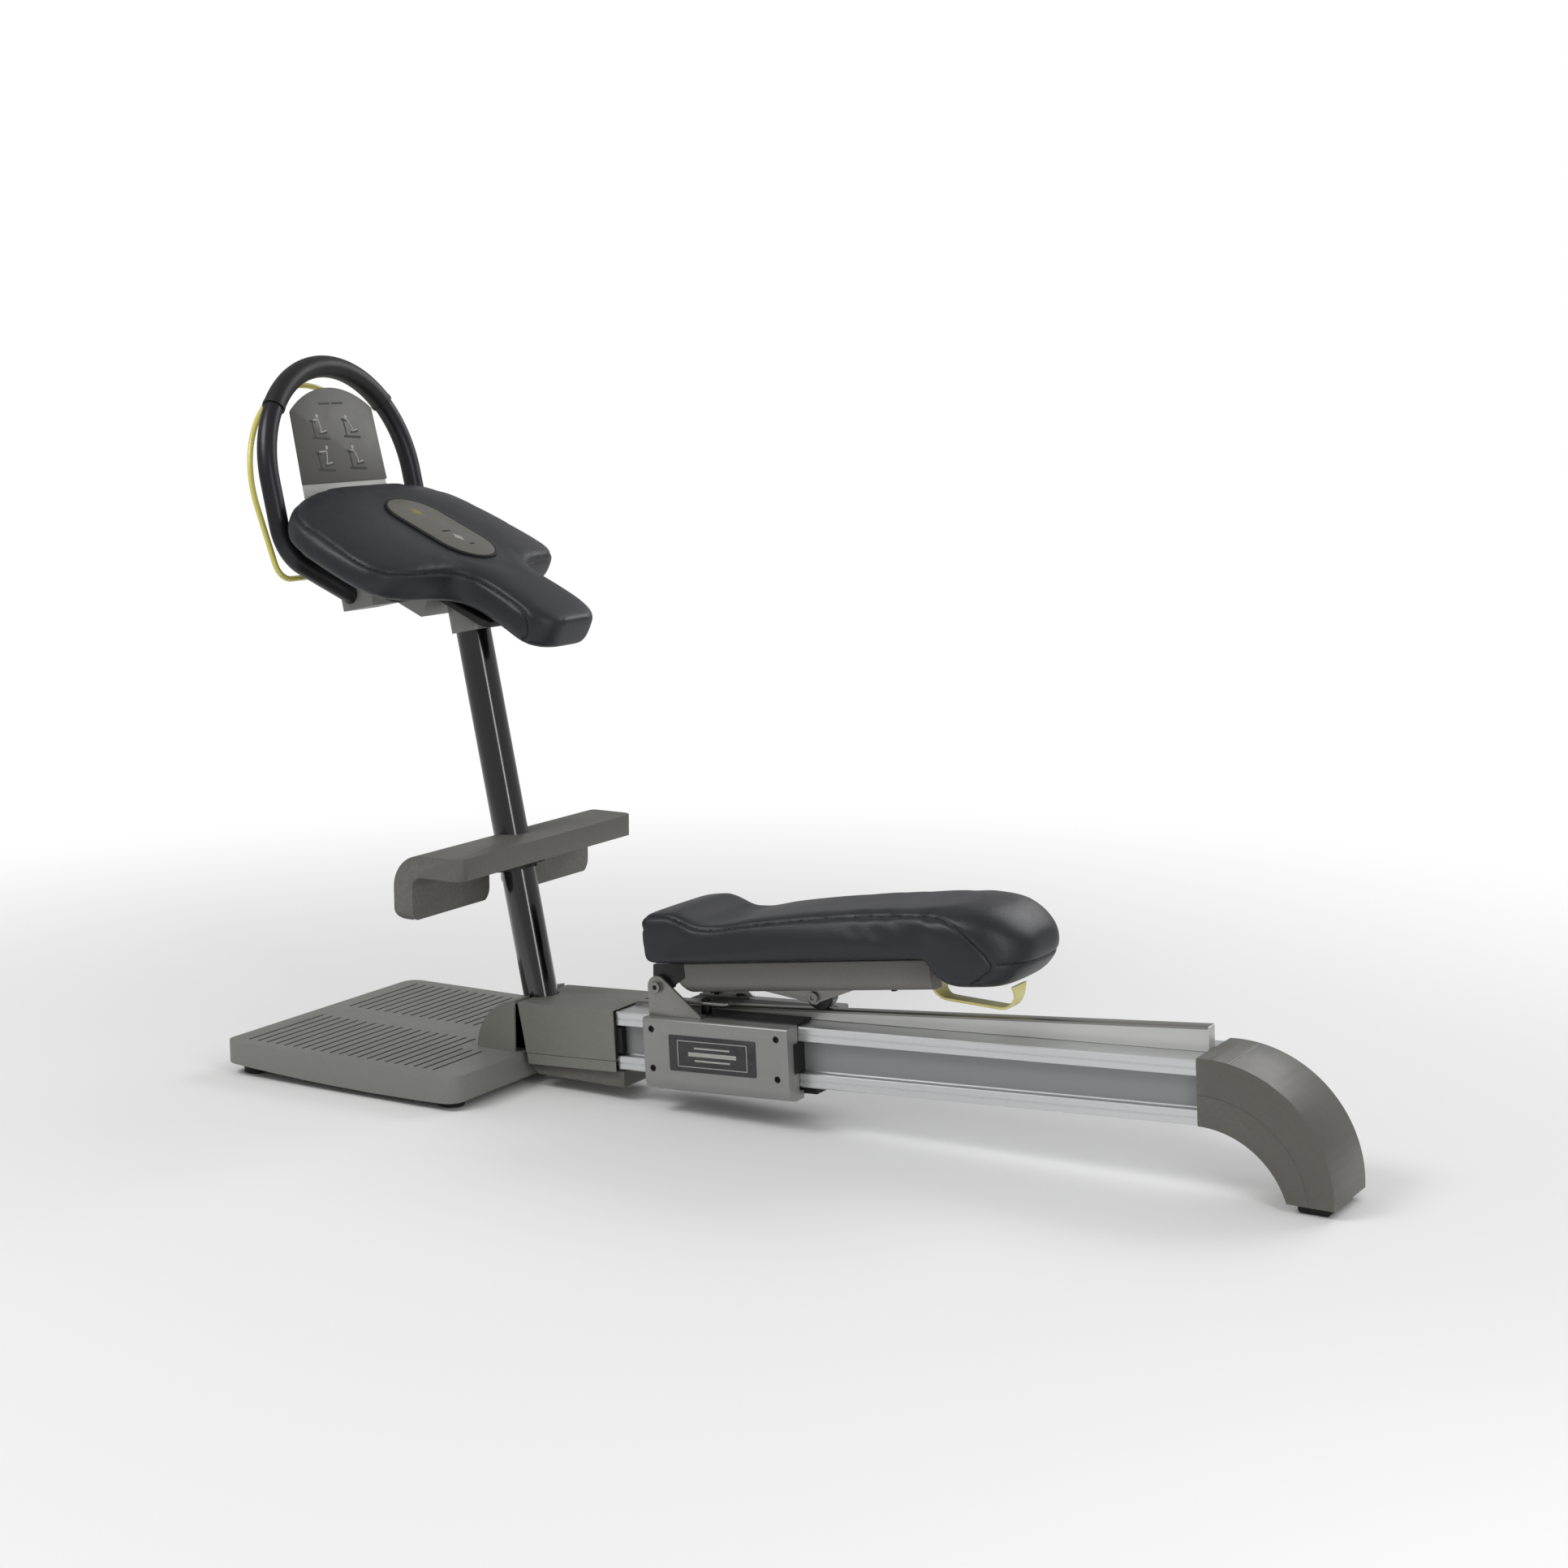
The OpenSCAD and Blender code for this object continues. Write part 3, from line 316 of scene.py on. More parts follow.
@dataclass(frozen=True)
class Finish:
    """One finish of the bench.

    Attributes:
        name: The material's name.
        colour: Base colour, as a screen colour.
        worn: The colour of rubbed edges.
        roughness: Mean roughness.
        metallic: 1 for bare metal.
        surface: The fine structure.
        scale: Grain size, in cells per metre.
        depth: Height of the grain, in metres.
        drift: How far the tone drifts.
        rub: How much of an edge is rubbed.
        dust: How much film lies on top.
        coat: Clear coat weight.
        turn: Turn of the drawn lines about +Y, in degrees.
    """

    name: str
    colour: str
    worn: str = "c8c6bd"
    roughness: float = 0.5
    metallic: float = 0.0
    surface: Surface = Surface.MOULDED
    scale: float = 900.0
    depth: float = 0.00003
    drift: float = 0.02
    rub: float = 0.1
    dust: float = 0.01
    coat: float = 0.0
    turn: float = 0.0

    def build(self, effects: Effects) -> bpy.types.Material:
        """Makes the material.

        Args:
            effects: The shared shader groups.

        Returns:
            The finished material.
        """
        material = bpy.data.materials.new(self.name)
        material.use_nodes = True
        tree = material.node_tree
        shader = tree.nodes["Principled BSDF"]
        place = tree.nodes.new("ShaderNodeTexCoord")
        turn = tree.nodes.new("ShaderNodeMapping")
        turn.inputs["Rotation"].default_value = (0.0, math.radians(self.turn), 0.0)
        tree.links.new(place.outputs["Object"], turn.inputs["Vector"])
        vector = turn.outputs[0]

        def group(kind: bpy.types.NodeTree, **values: object) -> bpy.types.Node:
            """Places a shared group, with its own values on its sockets."""
            made = tree.nodes.new("ShaderNodeGroup")
            made.node_tree = kind
            tree.links.new(vector, made.inputs["Vector"])
            for label, value in values.items():
                if isinstance(value, bpy.types.NodeSocket):
                    tree.links.new(value, made.inputs[label])
                else:
                    made.inputs[label].default_value = value
            return made

        tone = group(effects.drift, Colour=linear(self.colour), Amount=self.drift, Scale=5.0)
        rubbed = group(effects.rub, Colour=tone.outputs["Colour"], Worn=linear(self.worn), Amount=self.rub)
        dusty = group(effects.film, Colour=rubbed.outputs["Colour"], Amount=self.dust)
        tree.links.new(dusty.outputs["Colour"], shader.inputs["Base Color"])
        match self.surface:
            case Surface.MOULDED:
                grain = group(effects.moulded, Scale=self.scale, Roughness=self.roughness)
            case Surface.DRAWN:
                grain = group(effects.drawn, Roughness=self.roughness)
            case Surface.HIDE:
                grain = group(effects.hide, Scale=self.scale, Roughness=self.roughness)
        tree.links.new(grain.outputs["Roughness"], shader.inputs["Roughness"])
        bump = tree.nodes.new("ShaderNodeBump")
        bump.inputs["Distance"].default_value = self.depth
        bump.inputs["Strength"].default_value = 1.0
        tree.links.new(grain.outputs["Height"], bump.inputs["Height"])
        tree.links.new(bump.outputs[0], shader.inputs["Normal"])
        shader.inputs["Metallic"].default_value = self.metallic
        shader.inputs["Coat Weight"].default_value = self.coat
        shader.inputs["Coat Roughness"].default_value = 0.08
        return material


class Palette:
    """Every finish of the bench, built once."""

    FINISHES = (
        Finish("platform_shell", "7c7d77", roughness=0.5, dust=0.03),
        Finish("housing_shell", "74756e", roughness=0.44),
        Finish("rear_shell", "585751", roughness=0.4),
        Finish("bar_shell", "5f5e5a", roughness=0.44),
        Finish("tray_shell", "6c6b67", roughness=0.42),
        Finish("inlay_shell", "62615a", roughness=0.4),
        Finish("inner_black", "141415", worn="3a3a3c", roughness=0.55),
        Finish("wheel_nylon", "dcdad2", roughness=0.38),
        Finish("roller_black", "17181a", worn="3a3a3c", roughness=0.35),
        Finish("placard_pale", "c9cac6", roughness=0.35),
        Finish("placard_dark", "4c4b47", worn="7a796f", roughness=0.4),
        Finish("print_dark", "0e0e0f", roughness=0.5, rub=0.0),
        Finish("print_pale", "a4a59f", roughness=0.45, rub=0.0),
        Finish("print_olive", "8a8440", roughness=0.45, rub=0.0),
        Finish("label_dark", "2c2c2f", worn="8b8b8b", roughness=0.34),
        Finish("yellow_strap", "efe79a", worn="f6f2cc", roughness=0.38),
        Finish("yellow_wire", "e3dc70", worn="f0ecc0", roughness=0.26, coat=0.4),
        Finish("rubber_black", "111111", worn="2c2c2c", roughness=0.7, scale=1400.0, depth=0.00006),
        Finish("grip_rubber", "131314", worn="2c2c2c", roughness=0.45, scale=1100.0, depth=0.00008),
        Finish("black_coat", "141416", worn="45454a", roughness=0.4, scale=1600.0, depth=0.00005),
        Finish("column_gloss", "030304", worn="2a2a2c", roughness=0.16, scale=500.0, depth=0.00001, rub=0.0, dust=0.0, coat=1.0),
        Finish("silver_coat", "8d8e8b", worn="b8b8b6", roughness=0.36, metallic=0.4, scale=1500.0),
        Finish("cast_silver", "929291", worn="c4c4c2", roughness=0.38, metallic=0.5, scale=1700.0),
        Finish("anodised", "d3d4d5", worn="e8e8e8", roughness=0.3, metallic=0.9, surface=Surface.DRAWN, depth=0.000006, rub=0.0, turn=3.12),
        # A darker copy of the rail's aluminium: painted shade for the floor of each groove.
        Finish("web_painted_shade", "8e8f90", worn="b0b0b0", roughness=0.42, metallic=0.35, surface=Surface.DRAWN, depth=0.000004, rub=0.0, turn=3.12),
        Finish("pale_anodised", "d2d3d0", worn="eeeeee", roughness=0.34, metallic=0.5, surface=Surface.DRAWN, depth=0.000006, rub=0.0,
               turn=3.12),
        Finish("dark_chrome", "333336", worn="7c7c80", roughness=0.33, metallic=0.7, surface=Surface.DRAWN, depth=0.000004, dust=0.0),
        Finish("zinc_plate", "8c8b88", worn="bcbcb8", roughness=0.36, metallic=0.8, surface=Surface.DRAWN, depth=0.000008),
        Finish("black_oxide", "1c1c1d", worn="6a6a6a", roughness=0.38, metallic=0.8, surface=Surface.DRAWN, depth=0.00001),
        Finish("navy_hide", "1d1f25", worn="30333a", roughness=0.43, surface=Surface.HIDE, scale=420.0, depth=0.00014, drift=0.06),
        # The welt is real piping of the same leather; its colour, darker than the hide, is painted shade for the seam's
        # groove.
        Finish("navy_welt_painted_shade", "08090b", worn="202226", roughness=0.5, surface=Surface.HIDE, scale=700.0, depth=0.00006, dust=0.0),
        Finish("navy_thread", "3c4048", worn="6a6e78", roughness=0.6, scale=3000.0, rub=0.0, dust=0.0),
    )

    def __init__(self) -> None:
        """Builds the groups and then each material."""
        effects = Effects()
        self.made = {finish.name: finish.build(effects) for finish in self.FINISHES}

    def __getitem__(self, name: str) -> bpy.types.Material:
        """The material of that name."""
        return self.made[name]


# ---------------------------------------------------------------- mesh work


@dataclass
class Shape:
    """Points and faces that are gathered before they become a mesh."""

    points: list[Vector] = field(default_factory=list)
    faces: list[tuple[int, ...]] = field(default_factory=list)

    def add(self, points: Sequence[Vector], faces: Sequence[Sequence[int]]) -> "Shape":
        """Adds more points, and faces that number them from nought; gives itself."""
        start = len(self.points)
        self.points += [Vector(p) for p in points]
        self.faces += [tuple(start + i for i in face) for face in faces]
        return self

    def rings(self, rings: Sequence[Sequence[Vector]], capped: bool = True, closed: bool = False) -> "Shape":
        """Adds a skin over rings of equal length.

        Args:
            rings: The rings, in order.
            capped: Whether the first and last ring get a flat cap.
            closed: Whether the last ring joins the first.

        Returns:
            The shape itself.
        """
        n, rows = len(rings[0]), len(rings)
        faces: list[tuple[int, ...]] = []
        for j in range(rows if closed else rows - 1):
            k = (j + 1) % rows
            faces += [(j * n + i, j * n + (i + 1) % n, k * n + (i + 1) % n, k * n + i) for i in range(n)]
        if capped and not closed:
            faces += [tuple(reversed(range(n))), tuple((rows - 1) * n + i for i in range(n))]
        return self.add([p for ring in rings for p in ring], faces)

    def moved(self, matrix: Matrix) -> "Shape":
        """The same shape through a matrix."""
        return Shape([matrix @ p for p in self.points], list(self.faces))

    def joined(self, other: "Shape") -> "Shape":
        """Adds another shape to this one."""
        return self.add(other.points, other.faces)


def tube(path: Sequence[Vector], radius: float, sides: int = 20, closed: bool = False) -> Shape:
    """A round tube along a path, whose rings don't twist.

    Args:
        path: The points of the centre line.
        radius: The tube's radius.
        sides: How many sides each ring has.
        closed: Whether the path is a loop.

    Returns:
        The tube's shape.
    """
    points = [Vector(p) for p in path]
    last = len(points) - 1
    rings: list[list[Vector]] = []
    side = Vector((0, 0, 1))
    for i, p in enumerate(points):
        ahead = points[(i + 1) % (last + 1)] if closed else points[min(i + 1, last)]
        behind = points[i - 1] if closed or i else points[0]
        along = (ahead - behind).normalized()
        if i == 0 and abs(along.dot(side)) > 0.9:
            side = Vector((0, 1, 0))
        side = (side - along * side.dot(along)).normalized()
        other = along.cross(side)
        turns = [2 * math.pi * k / sides for k in range(sides)]
        rings.append([p + (side * math.cos(a) + other * math.sin(a)) * radius for a in turns])
    return Shape().rings(rings, capped=not closed, closed=closed)


def lathe(profile: Sequence[Flat], sides: int = 32) -> Shape:
    """A turned shape about +Z from (radius, height) pairs, lowest first; ends are capped."""
    turns = [2 * math.pi * k / sides for k in range(sides)]
    return Shape().rings([[Vector((r * math.cos(a), r * math.sin(a), z)) for a in turns] for r, z in profile])


def slab(outline: Sequence[Flat], low: float, high: float, soft: float = 0.0) -> Shape:
    """A flat plate in X and Y with an eased upper rim.

    Args:
        outline: The plate's corners, anticlockwise.
        low: Height of its underside.
        high: Height of its top.
        soft: Width of the eased rim.

    Returns:
        The plate's shape.
    """
    centre = Vector((sum(p[0] for p in outline), sum(p[1] for p in outline))) / len(outline)
    rings = [[Vector((x, y, z)) for x, y in outline] for z in (low, high - soft)]
    if soft:
        for share, rise in ((0.3, 0.7), (1.0, 1.0)):
            ring = []
            for x, y in outline:
                inward = (centre - Vector((x, y))).normalized() * soft * share
                ring.append(Vector((x + inward.x, y + inward.y, high - soft * (1 - rise))))
            rings.append(ring)
    return Shape().rings(rings)


def stadium(half_long: float, half_wide: float, steps: int = 16) -> list[Flat]:
    """An outline with straight flanks and round ends, anticlockwise."""
    straight = half_long - half_wide
    right = [(-90 + 180 * k / steps) for k in range(steps + 1)]
    left = [(90 + 180 * k / steps) for k in range(steps + 1)]
    return [(straight + half_wide * math.cos(math.radians(a)), half_wide * math.sin(math.radians(a))) for a in right] + [
        (-straight + half_wide * math.cos(math.radians(a)), half_wide * math.sin(math.radians(a))) for a in left
    ]


def soften(mesh: bpy.types.Mesh, degrees: float = 38.0) -> None:
    """Smooths a mesh's shading, apart from edges sharper than that."""
    work = bmesh.new()
    work.from_mesh(mesh)
    for edge in work.edges:
        edge.smooth = len(edge.link_faces) == 2 and edge.calc_face_angle(0.0) < math.radians(degrees)
    for face in work.faces:
        face.smooth = True
    work.to_mesh(mesh)
    work.free()


def settle(piece: bpy.types.Object) -> None:
    """Turns a piece's modifiers into plain mesh, so that nothing live is left on it."""
    graph = bpy.context.evaluated_depsgraph_get()
    mesh = bpy.data.meshes.new_from_object(piece.evaluated_get(graph), preserve_all_data_layers=True, depsgraph=graph)
    piece.modifiers.clear()
    piece.data = mesh


class Bench:
    """Adds pieces to the scene and ties each one to its CAD body."""

    def __init__(self, palette: Palette) -> None:
        """Keeps the finishes.

        Args:
            palette: The built materials.
        """
        self.palette = palette

    def piece(self, name: str, shape: Shape, body: str, finish: str, slot: str,
              stands_for: Sequence[str] = (), sharp: float = 38.0) -> bpy.types.Object:
        """Makes a piece of a shape.

        Args:
            name: The piece's name.
            shape: Its points and faces, in the row's frame.
            body: The CAD body that it rides on.
            finish: Its finish.
            slot: The record's material slot; not used.
            stands_for: The CAD nodes that it replaces.
            sharp: The angle over which an edge stays sharp.

        Returns:
            The new object.
        """
        mesh = bpy.data.meshes.new(name)
        mesh.from_pydata(shape.points, [], shape.faces)
        work = bmesh.new()
        work.from_mesh(mesh)
        bmesh.ops.remove_doubles(work, verts=work.verts, dist=1e-6)
        bmesh.ops.recalc_face_normals(work, faces=work.faces)
        work.to_mesh(mesh)
        work.free()
        soften(mesh, sharp)
        made = bpy.data.objects.new(name, mesh)
        bpy.context.scene.collection.objects.link(made)
        return self.tie(made, body, finish, stands_for)

    def tie(self, made: bpy.types.Object, body: str, finish: str,
            stands_for: Sequence[str] = ()) -> bpy.types.Object:
        """Dresses an object and ties it to its body; the arguments are those of piece."""
        made.data.materials.clear()
        made.data.materials.append(self.palette[finish])
        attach(made, body)
        if stands_for:
            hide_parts(*stands_for)
        log.info("%s: %d faces", made.name, len(made.data.polygons))
        return made

    def refined(self, node: str, finish: str, width: float, rounds: int = 3,
                weight: Callable[[Vector, Vector], float] | None = None) -> bpy.types.Object:
        """A copy of a rigid CAD node with eased edges, which stands for the node.

        Args:
            node: The CAD node.
            finish: The copy's finish.
            width: How wide each eased edge is.
            rounds: How many steps an eased edge has.
            weight: A share of the width for an edge, from its two ends.

        Returns:
            The copy.
        """
        source = frame["nodes"][node]
        mesh = source.data.copy()
        work = bmesh.new()
        work.from_mesh(mesh)
        bmesh.ops.remove_doubles(work, verts=work.verts, dist=2e-5)
        bmesh.ops.dissolve_limit(work, angle_limit=math.radians(0.8), verts=work.verts, edges=work.edges)
        layer = work.edges.layers.float.new("bevel_weight_edge")
        for edge in work.edges:
            if len(edge.link_faces) == 2 and edge.calc_face_angle(0.0) > math.radians(26):
                ends = [v.co for v in edge.verts]
                edge[layer] = weight(*ends) if weight else 1.0
        work.to_mesh(mesh)
        work.free()
        made = bpy.data.objects.new("fine_" + node, mesh)
        bpy.context.scene.collection.objects.link(made)
        ease = made.modifiers.new("ease", "BEVEL")
        ease.limit_method = "WEIGHT"
        ease.width = width
        ease.segments = rounds
        ease.harden_normals = True
        ease.use_clamp_overlap = True
        for face in mesh.polygons:
            face.use_smooth = True
        settle(made)
        return self.tie(made, next(b for b, ns in frame["record"]["behaviour"]["bodies"].items() if node in ns),
                        finish, (node,))

    def dress(self, node: str, finish: str) -> None:
        """Gives a CAD node that keeps its own mesh its finish."""
        mesh = frame["nodes"][node].data
        mesh.materials.clear()
        mesh.materials.append(self.palette[finish])


# ---------------------------------------------------------------- repeats


class Repeater:
    """A Geometry Nodes tree that sets one small piece on every point of a mesh."""

    def __init__(self) -> None:
        """Builds the tree: instances turned to two stored directions, made real, with a material."""
        tree = bpy.data.node_groups.new("RepeatOnPoints", "GeometryNodeTree")
        face = tree.interface
        face.new_socket("Geometry", in_out="INPUT", socket_type="NodeSocketGeometry")
        self.pattern = face.new_socket("Small piece", in_out="INPUT", socket_type="NodeSocketObject").identifier
        self.size = face.new_socket("Size", in_out="INPUT", socket_type="NodeSocketFloat").identifier
        self.material = face.new_socket("Material", in_out="INPUT", socket_type="NodeSocketMaterial").identifier
        face.new_socket("Geometry", in_out="OUTPUT", socket_type="NodeSocketGeometry")
        source, sink = tree.nodes.new("NodeGroupInput"), tree.nodes.new("NodeGroupOutput")
        info = tree.nodes.new("GeometryNodeObjectInfo")
        place = tree.nodes.new("GeometryNodeInstanceOnPoints")
        turn = tree.nodes.new("FunctionNodeAxesToRotation")
        turn.primary_axis, turn.secondary_axis = "Z", "X"
        real = tree.nodes.new("GeometryNodeRealizeInstances")
        paint = tree.nodes.new("GeometryNodeSetMaterial")
        link = tree.links.new
        for label, socket in (("out", turn.inputs[0]), ("along", turn.inputs[1])):
            named = tree.nodes.new("GeometryNodeInputNamedAttribute")
            named.data_type = "FLOAT_VECTOR"
            named.inputs["Name"].default_value = label
            link(named.outputs["Attribute"], socket)
        link(source.outputs["Geometry"], place.inputs["Points"])
        link(source.outputs["Small piece"], info.inputs["Object"])
        link(info.outputs["Geometry"], place.inputs["Instance"])
        link(turn.outputs[0], place.inputs["Rotation"])
        link(source.outputs["Size"], place.inputs["Scale"])
        link(place.outputs[0], real.inputs[0])
        link(real.outputs[0], paint.inputs["Geometry"])
        link(source.outputs["Material"], paint.inputs["Material"])
        link(paint.outputs[0], sink.inputs[0])
        self.tree = tree

    def lay(self, bench: Bench, name: str, small: Shape, spots: Sequence[tuple[Vector, Vector, Vector]], body: str,
            finish: str, slot: str, stands_for: Sequence[str] = ()) -> bpy.types.Object:
        """Sets a small piece on each spot.

        Args:
            bench: The scene's bench.
            name: The finished piece's name.
            small: The piece that repeats, with +Z out and +X along.
            spots: A place, its direction out and its direction along, each in the row's frame.
            body: The CAD body.
            finish: The finish.
            slot: The record's material slot; not used.
            stands_for: The CAD nodes that it replaces.

        Returns:
            The piece that holds every repeat.
        """
        pattern_mesh = bpy.data.meshes.new(name + "_one")
        pattern_mesh.from_pydata(small.points, [], small.faces)
        pattern = bpy.data.objects.new(name + "_one", pattern_mesh)
        bpy.context.scene.collection.objects.link(pattern)
        mesh = bpy.data.meshes.new(name)
        mesh.from_pydata([spot[0] for spot in spots], [], [])
        for k, label in ((1, "out"), (2, "along")):
            layer = mesh.attributes.new(label, "FLOAT_VECTOR", "POINT")
            layer.data.foreach_set("vector", [c for spot in spots for c in spot[k].normalized()])
        made = bpy.data.objects.new(name, mesh)
        bpy.context.scene.collection.objects.link(made)
        live = made.modifiers.new("repeat", "NODES")
        live.node_group = self.tree
        live[self.pattern] = pattern
        live[self.size] = 1.0
        live[self.material] = bench.palette[finish]
        settle(made)
        bpy.data.objects.remove(pattern)
        soften(made.data)
        return bench.tie(made, body, finish, stands_for)


def hex_socket_screw(head: float, high: float) -> Shape:
    """A cap screw's head with a hexagon socket, standing on the origin.

    Args:
        head: Radius of the head.
        high: Height of the head.

    Returns:
        The head's shape, with +Z out.
    """
    sides = 24
    turns = [2 * math.pi * k / sides for k in range(sides)]

    def ring(radius: float, z: float, six: bool = False) -> list[Vector]:
        """One ring of the head; six makes it a hexagon."""
        made = []
        for a in turns:
            cut = math.cos(math.pi / 6) / math.cos((a % (math.pi / 3)) - math.pi / 6) if six else 1.0
            made.append(Vector((radius * cut * math.cos(a), radius * cut * math.sin(a), z)))
        return made

    rows = [ring(head, 0), ring(head, high * 0.8), ring(head * 0.97, high * 0.93), ring(head * 0.9, high)]
    rows += [ring(head * 0.56, high, True), ring(head * 0.53, high * 0.97, True), ring(head * 0.53, high * 0.4, True)]
    return Shape().rings(rows)


# ---------------------------------------------------------------- platform, housing and rail


@dataclass
class Platform:
    """The slotted foot platform, its grip strips and its feet."""

    bench: Bench
    repeats: Repeater
    first_slot: float = -0.931
    pitch: float = 0.020
    top: float = 0.060
    inner: float = 0.037
    outer: float = 0.240
    short_inner: float = 0.100
    strip_half: float = 0.0022

    def strip(self, long: float) -> Shape:
        """A ribbed rubber strip with round ends, lying along +X."""
        outline = stadium(long / 2 - 0.0004, self.strip_half, 6)
        made = slab(outline, -0.0028, -0.0009, 0.0006)
        ribs = slab(stadium(long / 2 - 0.003, 0.0007, 4), -0.0012, -0.0004, 0.0002)
        return made.joined(ribs)

    def spots(self, short: bool) -> list[tuple[Vector, Vector, Vector]]:
        """The places of the long strips, or of the short ones beside the housing."""
        inner = self.short_inner if short else self.inner
        count = range(18, 21) if short else range(18)
        middle = (inner + self.outer) / 2
        up, across = Vector((0, 0, 1)), Vector((0, 1, 0))
        return [(Vector((self.first_slot + k * self.pitch, side * middle, self.top)), up, across) for k in count for side in (-1, 1)]

    def build(self) -> None:
        """Makes the platform's pieces."""

        def rim(a: Vector, b: Vector) -> float:
            """Wide rounding on the outer rim, a fine break on the slots."""
            outside = all(abs(v.y) > 0.262 or v.x < -0.958 or v.x > -0.468 for v in (a, b))
            if outside:
                return 1.0 if min(a.z, b.z) > 0.05 else 0.35
            return 0.07

        self.bench.refined("platform_tray", "platform_shell", 0.006, 4, rim)
        lay = self.repeats.lay
        lay(self.bench, "grip_strips_long", self.strip(self.outer - self.inner), self.spots(False), "base", "rubber_black",
            "rubber_black", ("grip_strips",))
        lay(self.bench, "grip_strips_short", self.strip(self.outer - self.short_inner), self.spots(True), "base",
            "rubber_black", "rubber_black")
        feet = [(Vector((x, y, 0.0)), Vector((0, 0, 1)), Vector((1, 0, 0))) for x in (-0.9285, -0.5035) for y in (-0.225, 0.225)]
        foot = lathe([(0.017, 0.0), (0.0215, 0.0008), (0.022, 0.003), (0.0212, 0.006), (0.0212, 0.0075), (0.022, 0.009),
                      (0.022, 0.0198)])
        lay(self.bench, "platform_feet_turned", foot, feet, "base", "rubber_black", "rubber_black", ("platform_feet",))
        self.bench.refined("platform_beam", "black_coat", 0.0015)


@dataclass
class Housing:
    """The shells round the front end of the rail."""

    bench: Bench

    def build(self) -> None:
        """Makes the shells."""
        make = self.bench.refined
        make("housing_cover", "housing_shell", 0.003, 4)
        make("housing_lower", "housing_shell", 0.0015)
        make("nose_fairing", "housing_shell", 0.0035, 4)
        make("skid_block", "rear_shell", 0.002)
        make("column_socket", "black_coat", 0.0015)


@dataclass
class Rail:
    """The extruded rail, its ramp and its stops."""

    bench: Bench
    repeats: Repeater
    length: float = 1.240
    half: float = 0.068
    high: float = 0.100

    def section(self) -> list[Flat]:
        """The rail's outer section in Y and Z: flanges, stepped grooves and small grip lines."""
        right = [(0.0, 0.0), (0.0655, 0.0), (0.068, 0.0025), (0.068, 0.0105), (0.0672, 0.0112), (0.0672, 0.0128),
                 (0.068, 0.0135), (0.068, 0.0228), (0.0668, 0.024), (0.0535, 0.024), (0.052, 0.0255), (0.052, 0.0745),
                 (0.0535, 0.076), (0.0668, 0.076), (0.068, 0.0772), (0.068, 0.0865), (0.0672, 0.0872), (0.0672, 0.0888),
                 (0.068, 0.0895), (0.068, 0.0975), (0.0655, 0.1), (0.0, 0.1)]
        return right + [(-y, z) for y, z in reversed(right[1:-1])]

    def build(self) -> None:
        """Makes the rail's pieces."""
        outline = self.section()
        rings = [[RAIL @ Vector((x, y, z)) for y, z in outline] for x in (0.0, self.length)]
        self.bench.piece("rail_fine", Shape().rings(rings), "base", "anodised", "rail_aluminium", ("rail_extrusion",), 20)
        # Thin darker sheets laid on each groove's floor: painted shade where the web lies in the groove's shadow.
        strips = Shape()
        for side in (-1, 1):
            corners = [(side * 0.0519, 0.0262), (side * 0.0523, 0.0262), (side * 0.0523, 0.0738), (side * 0.0519, 0.0738)]
            strips.joined(Shape().rings([[RAIL @ Vector((x, y, z)) for y, z in corners] for x in (0.020, self.length - 0.004)]))
        self.bench.piece("groove_strips", strips, "base", "web_painted_shade", "rail_aluminium")
        self.bench.refined("ramp_bar", "pale_anodised", 0.002, 3)
        edge = [RAIL @ Vector((x, 0.0, self.high + 0.0331 * (x - 0.005) - 0.0006)) for x in (0.1545, 1.1865)]
        lip = Shape().rings([[p + RAIL.to_3x3() @ Vector((0, y, z)) for y, z in
                              ((-0.0127, -0.0035), (0.0127, -0.0035), (0.0127, 0.0), (0.0105, 0.0014), (-0.0105, 0.0014),
                               (-0.0127, 0.0))] for p in edge])
        self.bench.piece("ramp_wear_strip", lip, "base", "zinc_plate", "ramp_pale")
        self.bench.refined("rail_buffers", "rubber_black", 0.002)
        self.bench.dress("rail_end_plug", "inner_black")
        up, along = RAIL.to_3x3() @ Vector((0, 0, -1)), RAIL.to_3x3() @ Vector((1, 0, 0))
        spots = [(RAIL @ Vector((0.220 + 0.190 * k, 0, 0.094)), up, along) for k in range(5)]
        self.repeats.lay(self.bench, "ramp_screw_heads", hex_socket_screw(0.005, 0.004), spots, "base", "zinc_plate",
                         "fastener_steel", ("ramp_screws",))


@dataclass
class RearFoot:
    """The curved foot at the rail's rear end."""

    bench: Bench

    def build(self) -> None:
        """Makes the shells and the pad."""

        def rim(a: Vector, b: Vector) -> float:
            """Soft rounding along the outer edges, a fine break at the rail's mouth."""
            return 0.35 if max(a.x, b.x) < 0.79 else 1.0

        self.bench.refined("rear_foot_upper", "rear_shell", 0.005, 4, rim)
        self.bench.refined("rear_foot_lower", "rear_shell", 0.004, 4, rim)
        self.bench.refined("rear_foot_pad", "rubber_black", 0.0015)


# ---------------------------------------------------------------- column and head


